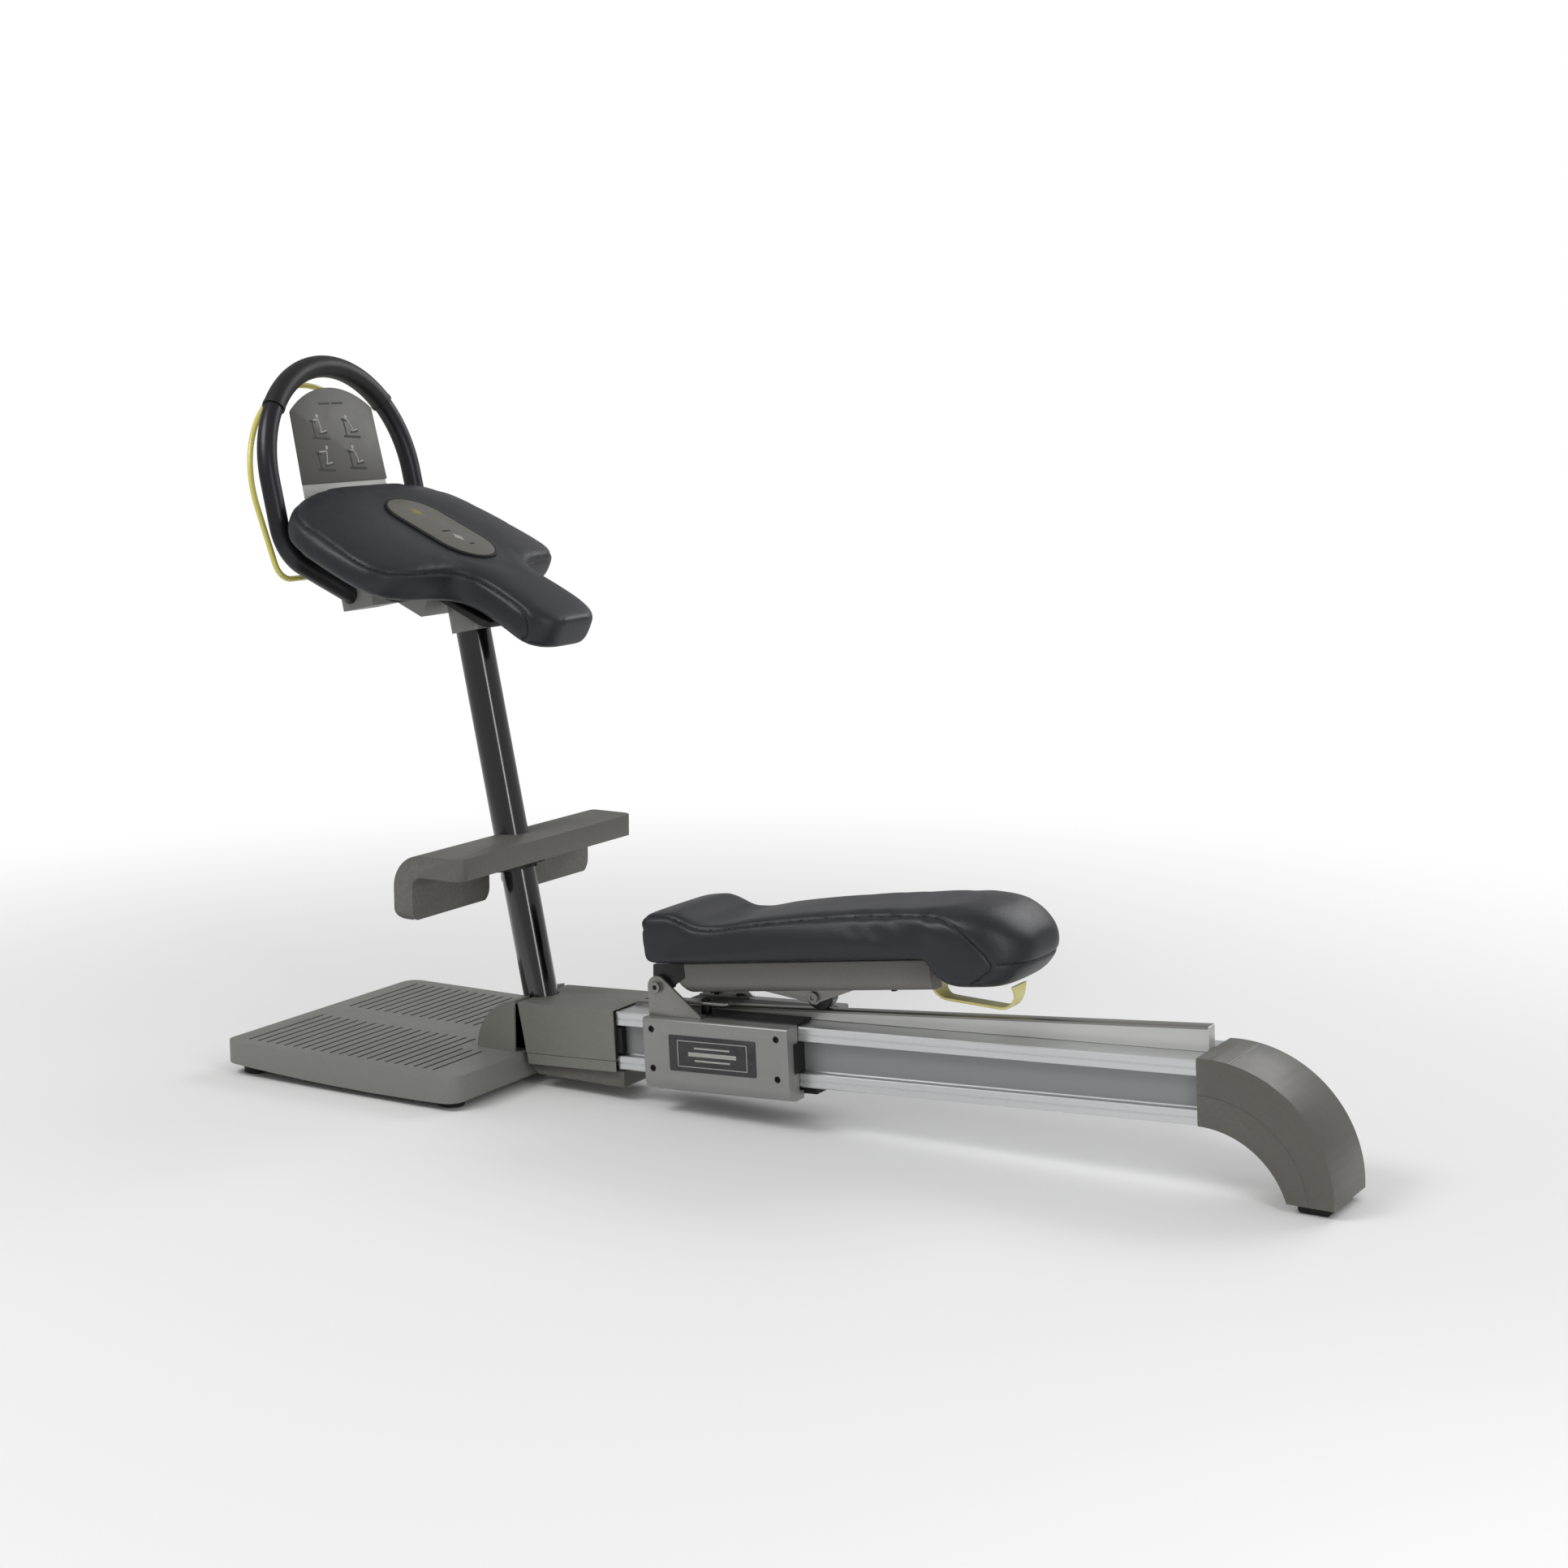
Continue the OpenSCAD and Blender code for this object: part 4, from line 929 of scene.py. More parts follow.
@dataclass
class Column:
    """The leaning tube with its foot bar."""

    bench: Bench
    repeats: Repeater

    def build(self) -> None:
        """Makes the tube, the bar and the collar."""
        profile = [(0.030, -0.084), (0.030, 0.6705), (0.0285, 0.672)]
        turns = [2 * math.pi * k / 64 for k in range(64)]
        rings = [[COLUMN @ Vector((r * math.cos(a), r * math.sin(a), z)) for a in turns] for r, z in profile]
        self.bench.piece("column_fine", Shape().rings(rings), "base", "column_gloss", "column_black", ("column_tube",))

        def rim(a: Vector, b: Vector) -> float:
            """Broad rounding at the bar's ends and edges, a fine break round the column."""
            near_tube = all(abs(v.y) < 0.038 and v.x > -0.58 for v in (a, b))
            return 0.15 if near_tube else 1.0

        self.bench.refined("foot_bar", "bar_shell", 0.005, 4, rim)
        self.bench.refined("foot_bar_collar", "black_coat", 0.001)
        out, along = COLUMN.to_3x3() @ Vector((0, -1, 0)), COLUMN.to_3x3() @ Vector((0, 0, 1))
        spots = [(COLUMN @ Vector((0.042, -0.015, 0.234)), out, along)]
        self.repeats.lay(self.bench, "collar_screw", hex_socket_screw(0.0045, 0.004), spots, "base", "black_oxide", "steel_black")


@dataclass
class ArchHandle:
    """The arch tube, its rubber sleeve and the wire bail in front of it."""

    bench: Bench
    centre: float = 0.031
    radius: float = 0.194
    knee: float = 0.080
    tube_radius: float = 0.017
    sleeve_sweep: float = 49.0

    @staticmethod
    def bend(y: float, z: float, radius: float, start: float, sweep: float, steps: int) -> list[Flat]:
        """Points of a bend in the arch's plane; angles run from up towards +Y.

        Args:
            y: The bend's centre across.
            z: The bend's centre up the plane.
            radius: The bend's radius.
            start: The first angle, in degrees.
            sweep: How far it turns, in degrees.
            steps: How many steps it has.

        Returns:
            The points, across and up.
        """
        angles = [math.radians(start + sweep * k / steps) for k in range(steps + 1)]
        return [(y + radius * math.sin(a), z + radius * math.cos(a)) for a in angles]

    def path(self) -> list[Flat]:
        """The arch tube's centre line."""
        low, r, k = -0.047, self.radius, self.knee
        return [(-0.034, -0.180), *self.bend(-r + k, low, k, -152, 62, 16), *self.bend(0, self.centre, r, -90, 180, 64),
                *self.bend(r - k, low, k, 90, 62, 16), (0.034, -0.180)]

    def bail_path(self) -> list[Flat]:
        """The bail's centre line, from pin to pin."""
        slant = math.radians(9.3)
        low, bend = -0.133, 0.035
        side = 0.178 * math.cos(slant) - 0.1012 * math.sin(slant) - bend * math.cos(slant)
        return [(-0.052, low), *self.bend(-side, low + bend, bend, -180, 80.7, 12), *self.bend(0, 0.025, 0.178, -99.3, 198.6, 72),
                *self.bend(side, low + bend, bend, 99.3, 80.7, 12), (0.052, low)]

    def build(self) -> None:
        """Makes the tube, the sleeve with its end rings, and the bail."""
        place = [ARCH @ Vector((0, y, z)) for y, z in self.path()]
        self.bench.piece("arch_fine", tube(place, self.tube_radius, 36), "base", "dark_chrome", "arch_chrome", ("arch_tube",))
        sweep = self.sleeve_sweep
        sleeve_path = [ARCH @ Vector((0, y, z)) for y, z in self.bend(0, self.centre, self.radius, -sweep, 2 * sweep, 56)]
        sleeve = tube(sleeve_path, self.tube_radius + 0.0022, 36)
        for angle in (-sweep, sweep):
            lip = self.bend(0, self.centre, self.radius, angle - 0.9, 1.8, 3)
            sleeve.joined(tube([ARCH @ Vector((0, y, z)) for y, z in lip], self.tube_radius + 0.0029, 36))
        self.bench.piece("arch_sleeve", sleeve, "base", "grip_rubber", "rubber_black", ("arch_grip",))
        wire = [ARCH @ Vector((-0.055, y, z)) for y, z in self.bail_path()]
        self.bench.piece("bail_wire", tube(wire, 0.005, 18), "bail", "yellow_wire", "bail_yellow", ("bail_lever",))
        self.bench.refined("bail_pins", "zinc_plate", 0.0008)
        self.bench.refined("bail_hinge_plates", "black_coat", 0.001)


@dataclass
class Placard:
    """The exercise placard with its four generic pictograms."""

    bench: Bench
    repeats: Repeater
    face: float = 0.0035
    cell_y: float = 0.052
    cell_z: Sequence[float] = (0.062, 0.118)

    def bar(self, a: Flat, b: Flat, wide: float) -> Shape:
        """A thin printed stroke between two points of the placard."""
        start, end = Vector(a), Vector(b)
        along = (end - start).normalized()
        side = Vector((-along.y, along.x)) * wide / 2
        corners = [start - side, end - side, end + side, start + side]
        rings = [[ARCH @ Vector((x, p.x, p.y)) for p in corners] for x in (self.face - 0.0003, self.face + 0.0003)]
        return Shape().rings(rings)

    def dot(self, centre: Flat, radius: float) -> Shape:
        """A thin printed disc."""
        turns = [2 * math.pi * k / 20 for k in range(20)]
        rings = [[ARCH @ Vector((x, centre[0] + radius * math.cos(a), centre[1] + radius * math.sin(a))) for a in turns]
                 for x in (self.face - 0.0003, self.face + 0.0003)]
        return Shape().rings(rings)

    def figure(self, y: float, z: float, lean: float) -> tuple[Shape, Shape]:
        """One pictogram: a plain bench in dark strokes, and a figure on it in pale strokes.

        Args:
            y: The pictogram's middle, across.
            z: The pictogram's middle, up.
            lean: How far the figure leans, in degrees.

        Returns:
            The dark strokes and the pale strokes.
        """
        dark, pale = Shape(), Shape()
        for a, b, wide in (((-0.022, -0.018), (0.022, -0.021), 0.004), ((-0.014, -0.018), (-0.017, 0.012), 0.0028),
                           ((-0.022, 0.012), (-0.008, 0.009), 0.004), ((-0.002, -0.012), (0.018, -0.010), 0.004)):
            dark.joined(self.bar((y + a[0], z + a[1]), (y + b[0], z + b[1]), wide))
        tip = math.radians(lean)
        hip = Vector((0.004, -0.004))
        chest = hip + Vector((-math.sin(tip), math.cos(tip))) * 0.018
        head = chest + Vector((-math.sin(tip), math.cos(tip))) * 0.0065
        for a, b in ((hip, chest), (chest, Vector((-0.013, 0.013))), (hip, Vector((0.001, -0.0095))),
                     (Vector((0.001, -0.0095)), Vector((0.017, -0.0065)))):
            pale.joined(self.bar((y + a.x, z + a.y), (y + b.x, z + b.y), 0.0026))
        pale.joined(self.dot((y + head.x, z + head.y), 0.0036))
        return dark, pale

    def build(self) -> None:
        """Makes the plates and the print."""
        self.bench.refined("placard_back", "placard_pale", 0.0008)
        self.bench.refined("placard_face", "placard_dark", 0.0007)
        dark, pale = Shape(), Shape()
        leans = iter((12.0, 35.0, -12.0, 24.0))
        for z in reversed(self.cell_z):
            for y in (-self.cell_y, self.cell_y):
                one, two = self.figure(y * 0.82, z, next(leans))
                dark.joined(one)
                pale.joined(two)
        for y in (-0.018, 0.018):
            dark.joined(self.bar((y - 0.015, 0.159), (y + 0.015, 0.159), 0.0032))
        self.bench.piece("placard_benches", dark, "base", "print_dark", "placard_dark")
        self.bench.piece("placard_figures", pale, "base", "print_pale", "placard_pale")
        out, along = ARCH.to_3x3() @ Vector((-1, 0, 0)), Vector((0, 1, 0))
        spots = [(ARCH @ Vector((-0.0015, y, -0.128)), out, along) for y in (-0.014, 0.014)]
        self.repeats.lay(self.bench, "placard_screw_heads", hex_socket_screw(0.005, 0.0035), spots, "base", "zinc_plate",
                         "fastener_steel", ("placard_screws",))


@dataclass
class Head:
    """The bracket at the column's top and the board under the arm pad."""

    bench: Bench

    def build(self) -> None:
        """Makes both."""
        self.bench.refined("head_bracket", "silver_coat", 0.003, 4)
        self.bench.refined("pad_board", "inner_black", 0.002)


# ---------------------------------------------------------------- padded pieces


def eased(xs: Sequence[float], ys: Sequence[float], x: np.ndarray) -> np.ndarray:
    """A smooth curve through points that never overshoots them.

    Args:
        xs: The points' places, rising.
        ys: The points' values.
        x: Where the curve is wanted.

    Returns:
        The curve's values.
    """
    px, py = np.asarray(xs, float), np.asarray(ys, float)
    step, slope = np.diff(px), np.diff(py) / np.diff(px)
    lean = np.zeros(len(px))
    for i in range(1, len(px) - 1):
        if slope[i - 1] * slope[i] > 0:
            w1, w2 = 2 * step[i] + step[i - 1], step[i] + 2 * step[i - 1]
            lean[i] = (w1 + w2) / (w1 / slope[i - 1] + w2 / slope[i])
    lean[0], lean[-1] = slope[0], slope[-1]
    k = np.clip(np.searchsorted(px, x) - 1, 0, len(step) - 1)
    t = (x - px[k]) / step[k]
    return ((2 * t**3 - 3 * t**2 + 1) * py[k] + (t**3 - 2 * t**2 + t) * step[k] * lean[k]
            + (-2 * t**3 + 3 * t**2) * py[k + 1] + (t**3 - t**2) * step[k] * lean[k + 1])


@dataclass
class Upholstery:
    """How a stuffed piece is blown up from its pattern, and where its seams go."""

    bench: Bench
    repeats: Repeater
    voxel: float = 0.005
    pressure: float = 4.0
    cap: float = 0.006
    calm: int = 10

    def swell(self, made: bpy.types.Object, held: Callable[[np.ndarray], np.ndarray]) -> None:
        """Fills a cover by cloth simulation and keeps the result on the mesh.

        Args:
            made: The cover, closed and a little smaller than the finished piece.
            held: Gives each point's hold from 0, free, to 1, fixed.
        """
        remesh = made.modifiers.new("even", "REMESH")
        remesh.mode = "VOXEL"
        remesh.voxel_size = self.voxel
        settle(made)
        count = len(made.data.vertices)
        start = np.zeros(count * 3)
        made.data.vertices.foreach_get("co", start)
        start = start.reshape(-1, 3)
        grip = held(start)
        group = made.vertex_groups.new(name="held")
        for level in range(1, 11):
            members = np.nonzero((grip * 10).round().astype(int) == level)[0]
            if len(members):
                group.add([int(i) for i in members], level / 10, "REPLACE")
        cloth = made.modifiers.new("fill", "CLOTH")
        rules = cloth.settings
        rules.use_pressure = True
        rules.uniform_pressure_force = self.pressure
        rules.effector_weights.gravity = 0.0
        rules.quality = 5
        rules.tension_stiffness = rules.compression_stiffness = 40
        rules.shear_stiffness = 8
        rules.bending_stiffness = 12
        rules.vertex_group_mass = "held"
        rules.pin_stiffness = 0.6
        cloth.point_cache.frame_start, cloth.point_cache.frame_end = 1, 20
        scene = bpy.context.scene
        for number in range(1, 21):
            scene.frame_set(number)
        settle(made)
        scene.frame_set(1)
        end = np.zeros(count * 3)
        made.data.vertices.foreach_get("co", end)
        step = end.reshape(-1, 3) - start
        far = np.linalg.norm(step, axis=1, keepdims=True)
        log.info("%s: swelled by %.1f mm at most", made.name, far.max() * 1000)
        step *= np.minimum(1.0, self.cap / np.maximum(far, 1e-9))
        made.data.vertices.foreach_set("co", (start + step).ravel())
        made.vertex_groups.clear()
        smooth = made.modifiers.new("calm", "SMOOTH")
        smooth.factor, smooth.iterations = 0.5, 12
        finer = made.modifiers.new("finer", "SUBSURF")
        finer.levels = finer.render_levels = 1
        settle(made)
        for face in made.data.polygons:
            face.use_smooth = True

    def groove(self, made: bpy.types.Object, line: Sequence[Vector], wide: float, deep: float) -> None:
        """Presses a sewn line into a finished cover.

        Args:
            made: The cover.
            line: The seam's points on the cover.
            wide: How far from the seam the cover is drawn in.
            deep: How deep it is drawn in.
        """
        tree = KDTree(len(line))
        for i, p in enumerate(line):
            tree.insert(p, i)
        tree.balance()
        mesh = made.data
        normals = [v.normal.copy() for v in mesh.vertices]
        for vertex, normal in zip(mesh.vertices, normals, strict=True):
            gap = tree.find(vertex.co)[2]
            if gap < wide:
                vertex.co -= normal * deep * (1 - gap / wide) ** 2
        mesh.update()

    @staticmethod
    def cast(made: bpy.types.Object, rays: Sequence[tuple[Vector, Vector]]) -> list[tuple[Vector, Vector]]:
        """Where rays from inside a cover leave it.

        Args:
            made: The cover.
            rays: Each ray's start and direction.

        Returns:
            Each place on the cover and its normal.
        """
        work = bmesh.new()
        work.from_mesh(made.data)
        tree = BVHTree.FromBMesh(work)
        found = []
        for start, way in rays:
            place, normal, _, _ = tree.ray_cast(start, way)
            if place is not None:
                found.append((place.copy(), normal if normal.dot(way) > 0 else -normal))
        work.free()
        return found

    def seam(self, made: bpy.types.Object, name: str, rays: Sequence[tuple[Vector, Vector]], body: str,
             loop: bool = False, offset: float = 0.0035, pitch: float = 0.0045) -> None:
        """Sews one line: a pressed groove, a fine welt in it and a row of stitches beside it.

        Args:
            made: The cover.
            name: The seam's name.
            rays: Rays from inside the cover, one for each point of the seam.
            body: The CAD body.
            loop: Whether the seam is closed.
            offset: How far the stitches lie from the seam.
            pitch: The stitches' spacing.
        """
        line = even([p for p, _ in self.cast(made, rays)], 0.003, loop)
        for _ in range(self.calm):
            line[1:-1] = [(a + b * 2 + c) / 4 for a, b, c in zip(line, line[1:], line[2:], strict=False)]
        line = [p for p, _ in self.nearest(made, line)]
        self.groove(made, line, 0.008, 0.0034)
        onto = [(p - n * 0.02, n) for p, n in self.nearest(made, line)]
        sunk = [p for p, _ in self.cast(made, onto)]
        welt = tube([p - n * 0.0003 for p, (_, n) in zip(sunk, onto, strict=False)], 0.0012, 8, loop)
        # The welt's dark colour is painted shade along the seam's groove; the welt itself is real piping.
        self.bench.piece(name + "_welt", welt, body, "navy_welt_painted_shade", "leather_navy")
        beside = []
        last = len(sunk) - 1
        for i in range(0, last):
            along = (sunk[i + 1] - sunk[i]).normalized()
            normal = onto[i][1]
            beside.append(sunk[i] + along.cross(normal).normalized() * offset)
        rows = self.nearest(made, even(beside, pitch, loop))
        spots = []
        for i in range(len(rows) - 1):
            along = rows[i + 1][0] - rows[i][0]
            if along.length > 1e-5:
                spots.append((rows[i][0], rows[i][1], along))
        half = pitch * 0.36
        stitch = Shape().rings([[Vector((x, w * r, h * r + 0.0001)) for w, h in
                                 ((0.00045, 0), (0.0, 0.0005), (-0.00045, 0), (0.0, -0.0003))]
                                for x, r in ((-half, 0.3), (-half * 0.6, 1), (half * 0.6, 1), (half, 0.3))])
        self.repeats.lay(self.bench, name + "_stitches", stitch, spots, body, "navy_thread", "leather_navy")

    @staticmethod
    def nearest(made: bpy.types.Object, points: Sequence[Vector]) -> list[tuple[Vector, Vector]]:
        """The nearest place on a cover to each point, with its normal."""
        found = []
        for p in points:
            _, place, normal, _ = made.closest_point_on_mesh(p)
            found.append((place.copy(), normal.copy()))
        return found


def even(points: Sequence[Vector], step: float, loop: bool) -> list[Vector]:
    """Points at an even spacing along a line of points.

    Args:
        points: The line's points.
        step: The spacing wanted.
        loop: Whether the line is closed.

    Returns:
        The new points.
    """
    line = list(points) + ([points[0]] if loop else [])
    gaps = [(b - a).length for a, b in zip(line, line[1:], strict=False)]
    total = sum(gaps)
    count = max(2, round(total / step))
    made, k, passed = [], 0, 0.0
    for i in range(count + (0 if loop else 1)):
        want = total * i / count
        while k < len(gaps) - 1 and passed + gaps[k] < want:
            passed += gaps[k]
            k += 1
        share = (want - passed) / gaps[k] if gaps[k] else 0.0
        made.append(line[k].lerp(line[k + 1], min(max(share, 0.0), 1.0)))
    return made


@dataclass
class ArmPad:
    """The forearm pad: two wings in front, a narrow tongue behind, and an oval inlay."""

    work: Upholstery
    stations: Sequence[float] = (-165, -161, -150, -132, -106, -70, -20, 40, 78, 104, 120, 129, 136, 147, 166, 195, 240,
                                 280, 304, 323, 336, 342)
    halves: Sequence[float] = (60, 110, 175, 218, 244, 258, 266, 268, 264, 248, 220, 182, 142, 112, 93, 86, 88, 91, 87, 75,
                               54, 32)
    thick: float = 0.078
    nose_rise: float = 0.020
    tail_rise: float = 0.022
    seam_deep: float = 0.016
    tail_seam: Sequence[Flat] = ((0.290, -0.031), (0.296, -0.038), (0.301, -0.047), (0.302, -0.057), (0.298, -0.068))
    inlay_long: float = 0.112
    inlay_wide: float = 0.061

    def half(self, u: float) -> float:
        """Half the pad's width at a distance along it, in metres."""
        return float(eased(self.stations, self.halves, np.array([u * 1000]))[0]) / 1000

    @staticmethod
    def drop(u: float, y: float) -> float:
        """How far the top lies under the plane of the pad's front: the tongue's fall and the crown."""
        return 0.6 * max(u - 0.200, 0.0) ** 2 + 0.2 * y * y

    def deep(self, u: float) -> float:
        """How deep the underside lies, which rises at the nose and at the tongue's end."""
        nose = self.nose_rise * (max(-0.100 - u, 0.0) / 0.050) ** 1.2
        return self.thick - nose - self.tail_rise * (max(u - 0.285, 0.0) / 0.057) ** 2

    def cover(self) -> Shape:
        """The pad's cover before it is filled, in the pad's frame."""
        us = np.concatenate([np.linspace(-0.161, -0.120, 16), np.linspace(-0.113, 0.098, 28), np.linspace(0.103, 0.150, 22),
                             np.linspace(0.157, 0.300, 20), np.linspace(0.305, 0.338, 12)])
        turns = [2 * math.pi * (k + 0.5) / 72 for k in range(72)]
        rings = []
        for u in us:
            wide = self.half(u) - 0.005
            ring = []
            for a in turns:
                c, s = math.cos(a), math.sin(a)
                y = wide * math.copysign(abs(c) ** 0.34, c)
                tuck = 1.0 - 0.05 * max(0.0, -s)
                top, low = -0.002, -self.deep(u) + 0.004
                z = (top + low) / 2 + (top - low) / 2 * math.copysign(abs(s) ** 0.5, s)
                ring.append(PAD @ Vector((u, y * tuck, z - self.drop(u, y))))
            rings.append(ring)
        return Shape().rings(rings)

    def rays(self) -> list[tuple[Vector, Vector]]:
        """Rays to the seam: up the tongue's corner, along one side, round the nose, and back down the other corner.

        Returns:
            Each ray's start and direction, in the row's frame.
        """
        us = np.concatenate([np.linspace(-0.163, -0.11, 40), np.linspace(-0.10, 0.09, 36), np.linspace(0.093, 0.155, 50),
                             np.linspace(0.16, 0.284, 36)])
        side = [Vector((u, self.half(u), 0)) for u in us]
        outline = even([Vector((p.x, -p.y, 0)) for p in reversed(side)] + side, 0.004, False)
        corners = {way: [(PAD @ Vector((u, way * 0.05, z)), PAD.to_3x3() @ Vector((0, way, 0))) for u, z in self.tail_seam]
                   for way in (-1, 1)}
        rays = []
        for i, p in enumerate(outline):
            along = (outline[min(i + 4, len(outline) - 1)] - outline[max(i - 4, 0)]).normalized()
            out = Vector((along.y, -along.x, 0))
            if out.dot(p - Vector((min(max(p.x, -0.08), 0.25), 0, 0))) < 0:
                out = -out
            start = p - out * 0.014
            start.z = -self.seam_deep - self.drop(start.x, start.y)
            rays.append((PAD @ start, PAD.to_3x3() @ out))
        return corners[-1][::-1] + rays + corners[1]

    def build(self) -> None:
        """Makes the pad, its seams and its inlay."""
        bench = self.work.bench
        made = bench.piece("arm_pad_cover", self.cover(), "base", "navy_hide", "leather_navy", ("arm_pad",))
        back = PAD.inverted()
        turn = np.array(back.to_3x3())
        shift = np.array(back.translation)

        def held(points: np.ndarray) -> np.ndarray:
            """The board holds the underside; the inlay holds the middle."""
            local = points @ turn.T + shift
            height = local[:, 2] + np.array([self.drop(u, y) for u, y in local[:, :2]])
            under = np.clip((0.017 - self.thick - height) / 0.01, 0, 1)
            middle = np.clip((0.150 - np.hypot(local[:, 0] - 0.02, local[:, 1] * 1.6)) / 0.03, 0, 1) * (height > -0.02)
            return np.maximum(under, middle)

        self.work.swell(made, held)
        self.work.seam(made, "arm_pad_seam", self.rays(), "base")
        self.inlay(bench)

    def inlay(self, bench: Bench) -> None:
        """The oval plate let into the pad's top, with its dark groove and plain marks."""
        place = PAD @ Matrix.Translation((0.020, 0, 0))
        outline = stadium(self.inlay_long, self.inlay_wide, 28)
        plate = slab([(x * 0.965, y * 0.945) for x, y in outline], -0.006, 0.0012, 0.0012).moved(place)
        bench.piece("inlay_plate", plate, "base", "inlay_shell", "inlay_grey", ("pad_inlay",))
        ring = [place @ Vector((x * 0.982, y * 0.972, -0.0016)) for x, y in outline]
        bench.piece("inlay_groove", tube(even(ring, 0.006, True), 0.0028, 10, True), "base", "rubber_black", "rubber_black")
        turns = np.linspace(0, 2 * math.pi, 24, endpoint=False)
        for label, x, long, wide, ink in (("lozenge", -0.058, 0.015, 0.008, "print_olive"), ("almond", 0.040, 0.013, 0.008, "print_pale")):
            shape = [(x + long * math.cos(a) * (0.75 + 0.25 * math.cos(4 * a)), wide * math.sin(a)) for a in turns]
            bench.piece("inlay_" + label, slab(shape, 0.0006, 0.0014, 0.0002).moved(place), "base", ink, "inlay_grey")
        marks = Shape()
        for x, y, long in ((0.016, -0.006, 0.011), (0.066, 0.006, 0.006)):
            marks.joined(slab([(x - 0.0022, y - long), (x + 0.0022, y - long), (x + 0.0022, y + long), (x - 0.0022, y + long)],
                              0.0006, 0.0014))
        bench.piece("inlay_marks", marks.moved(place), "base", "print_dark", "inlay_grey")


@dataclass
class ShinCushion:
    """The long cushion on the carriage: raised front rim, knee hollow, swelling tail."""

    work: Upholstery
    rows: Sequence[tuple[float, float, float, float]] = (
        (-8, 118, 44, 0.94), (0, 127, 37, 0.985), (20, 128, 36, 1.0), (46, 127, 36, 1.0), (68, 118, 36, 1.0),
        (98, 105, 36, 1.0), (128, 103, 36, 1.0), (186, 108, 36, 1.0), (300, 115, 36, 1.0), (410, 118, 36, 1.0),
        (510, 118, 36, 1.0), (530, 118, 4, 1.0), (552, 119, -12, 1.0), (585, 118, -17, 0.99), (612, 114, -19, 0.95),
        (638, 102, -13, 0.85), (658, 86, 1, 0.7), (672, 70, 18, 0.5), (680, 52, 38, 0.28))
    half: float = 0.118
    tail_seam: Sequence[Flat] = ((0.527, 0.109), (0.548, 0.105), (0.565, 0.098), (0.584, 0.085), (0.603, 0.066), (0.618, 0.047),
                                 (0.628, 0.032), (0.626, 0.021), (0.607, 0.009), (0.587, -0.001))

    def row(self, u: float) -> tuple[float, float, float]:
        """The top, the underside and the half width at a distance along the cushion, in metres."""
        at = np.array([u * 1000])
        us = [r[0] for r in self.rows]
        top, low, share = (float(eased(us, [r[k] for r in self.rows], at)[0]) for k in (1, 2, 3))
        return top / 1000, low / 1000, share * self.half

    def cover(self) -> Shape:
        """The cushion's cover before it is filled, in the row's frame."""
        us = np.concatenate([np.linspace(-0.005, 0.02, 8), np.linspace(0.03, 0.48, 52), np.linspace(0.488, 0.60, 24),
                             np.linspace(0.606, 0.676, 24)])
        turns = [2 * math.pi * (k + 0.5) / 72 for k in range(72)]
        rings = []
        for u in us:
            top, low, wide = self.row(u)
            top, low, wide = top - 0.004, low + 0.003, wide - 0.004
            power = 0.26 if u < 0.52 else 0.26 + 0.5 * min((u - 0.52) / 0.15, 1.0)
            ring = []
            for a in turns:
                c, s = math.cos(a), math.sin(a)
                y = wide * math.copysign(abs(c) ** power, c)
                z = (top + low) / 2 + (top - low) / 2 * math.copysign(abs(s) ** power, s)
                dish = 0.006 * math.cos(min(abs(y) / self.half, 1.0) * math.pi / 2) * math.exp(-(((u - 0.11) / 0.05) ** 2))
                ring.append(CUSHION @ Vector((u, y, z - (dish if s > 0 else 0.0))))
            rings.append(ring)
        return Shape().rings(rings)

    def side_rays(self, side: int) -> list[tuple[Vector, Vector]]:
        """Rays to the seam along one flank, which falls in an S at the tail and turns forward under it."""
        line = [Vector((u, 0, self.row(u)[0] - 0.007)) for u in np.linspace(0.004, 0.500, 120)]
        line += [Vector((u, 0, w)) for u, w in self.tail_seam]
        return [(CUSHION @ Vector((p.x, side * 0.06, p.z)), CUSHION.to_3x3() @ Vector((0, side, 0))) for p in even(line, 0.004, False)]

    def tail_rays(self) -> list[tuple[Vector, Vector]]:
        """Rays to the seam round the tail's underside, from flank to flank."""
        turns = [math.radians(a) for a in np.linspace(-52, 52, 70)]
        return [(CUSHION @ Vector((0.56, 0, 0.030)), CUSHION.to_3x3() @ Vector((math.cos(a), math.sin(a), -0.06 * math.cos(a * 1.6))))
                for a in turns]

    def build(self) -> None:
        """Makes the cushion and its seams."""
        bench = self.work.bench
        made = bench.piece("shin_cushion_cover", self.cover(), "cushion", "navy_hide", "leather_navy", ("shin_cushion",))
        back = CUSHION.inverted()
        turn, shift = np.array(back.to_3x3()), np.array(back.translation)

        def held(points: np.ndarray) -> np.ndarray:
            """The tray holds the underside."""
            local = points @ turn.T + shift
            return np.clip((0.047 - local[:, 2]) / 0.006, 0, 1) * (local[:, 0] < 0.52)

        self.work.swell(made, held)
        for side, label in ((-1, "near"), (1, "far")):
            self.work.seam(made, f"cushion_seam_{label}", self.side_rays(side), "cushion")
        front = [(CUSHION @ Vector((0.03, y, 0.085)), CUSHION.to_3x3() @ Vector((-0.9, 0, 0.44))) for y in np.linspace(-0.108, 0.108, 50)]
        self.work.seam(made, "cushion_seam_front", front, "cushion")
        self.work.seam(made, "cushion_seam_tail", self.tail_rays(), "cushion")


# ---------------------------------------------------------------- carriage


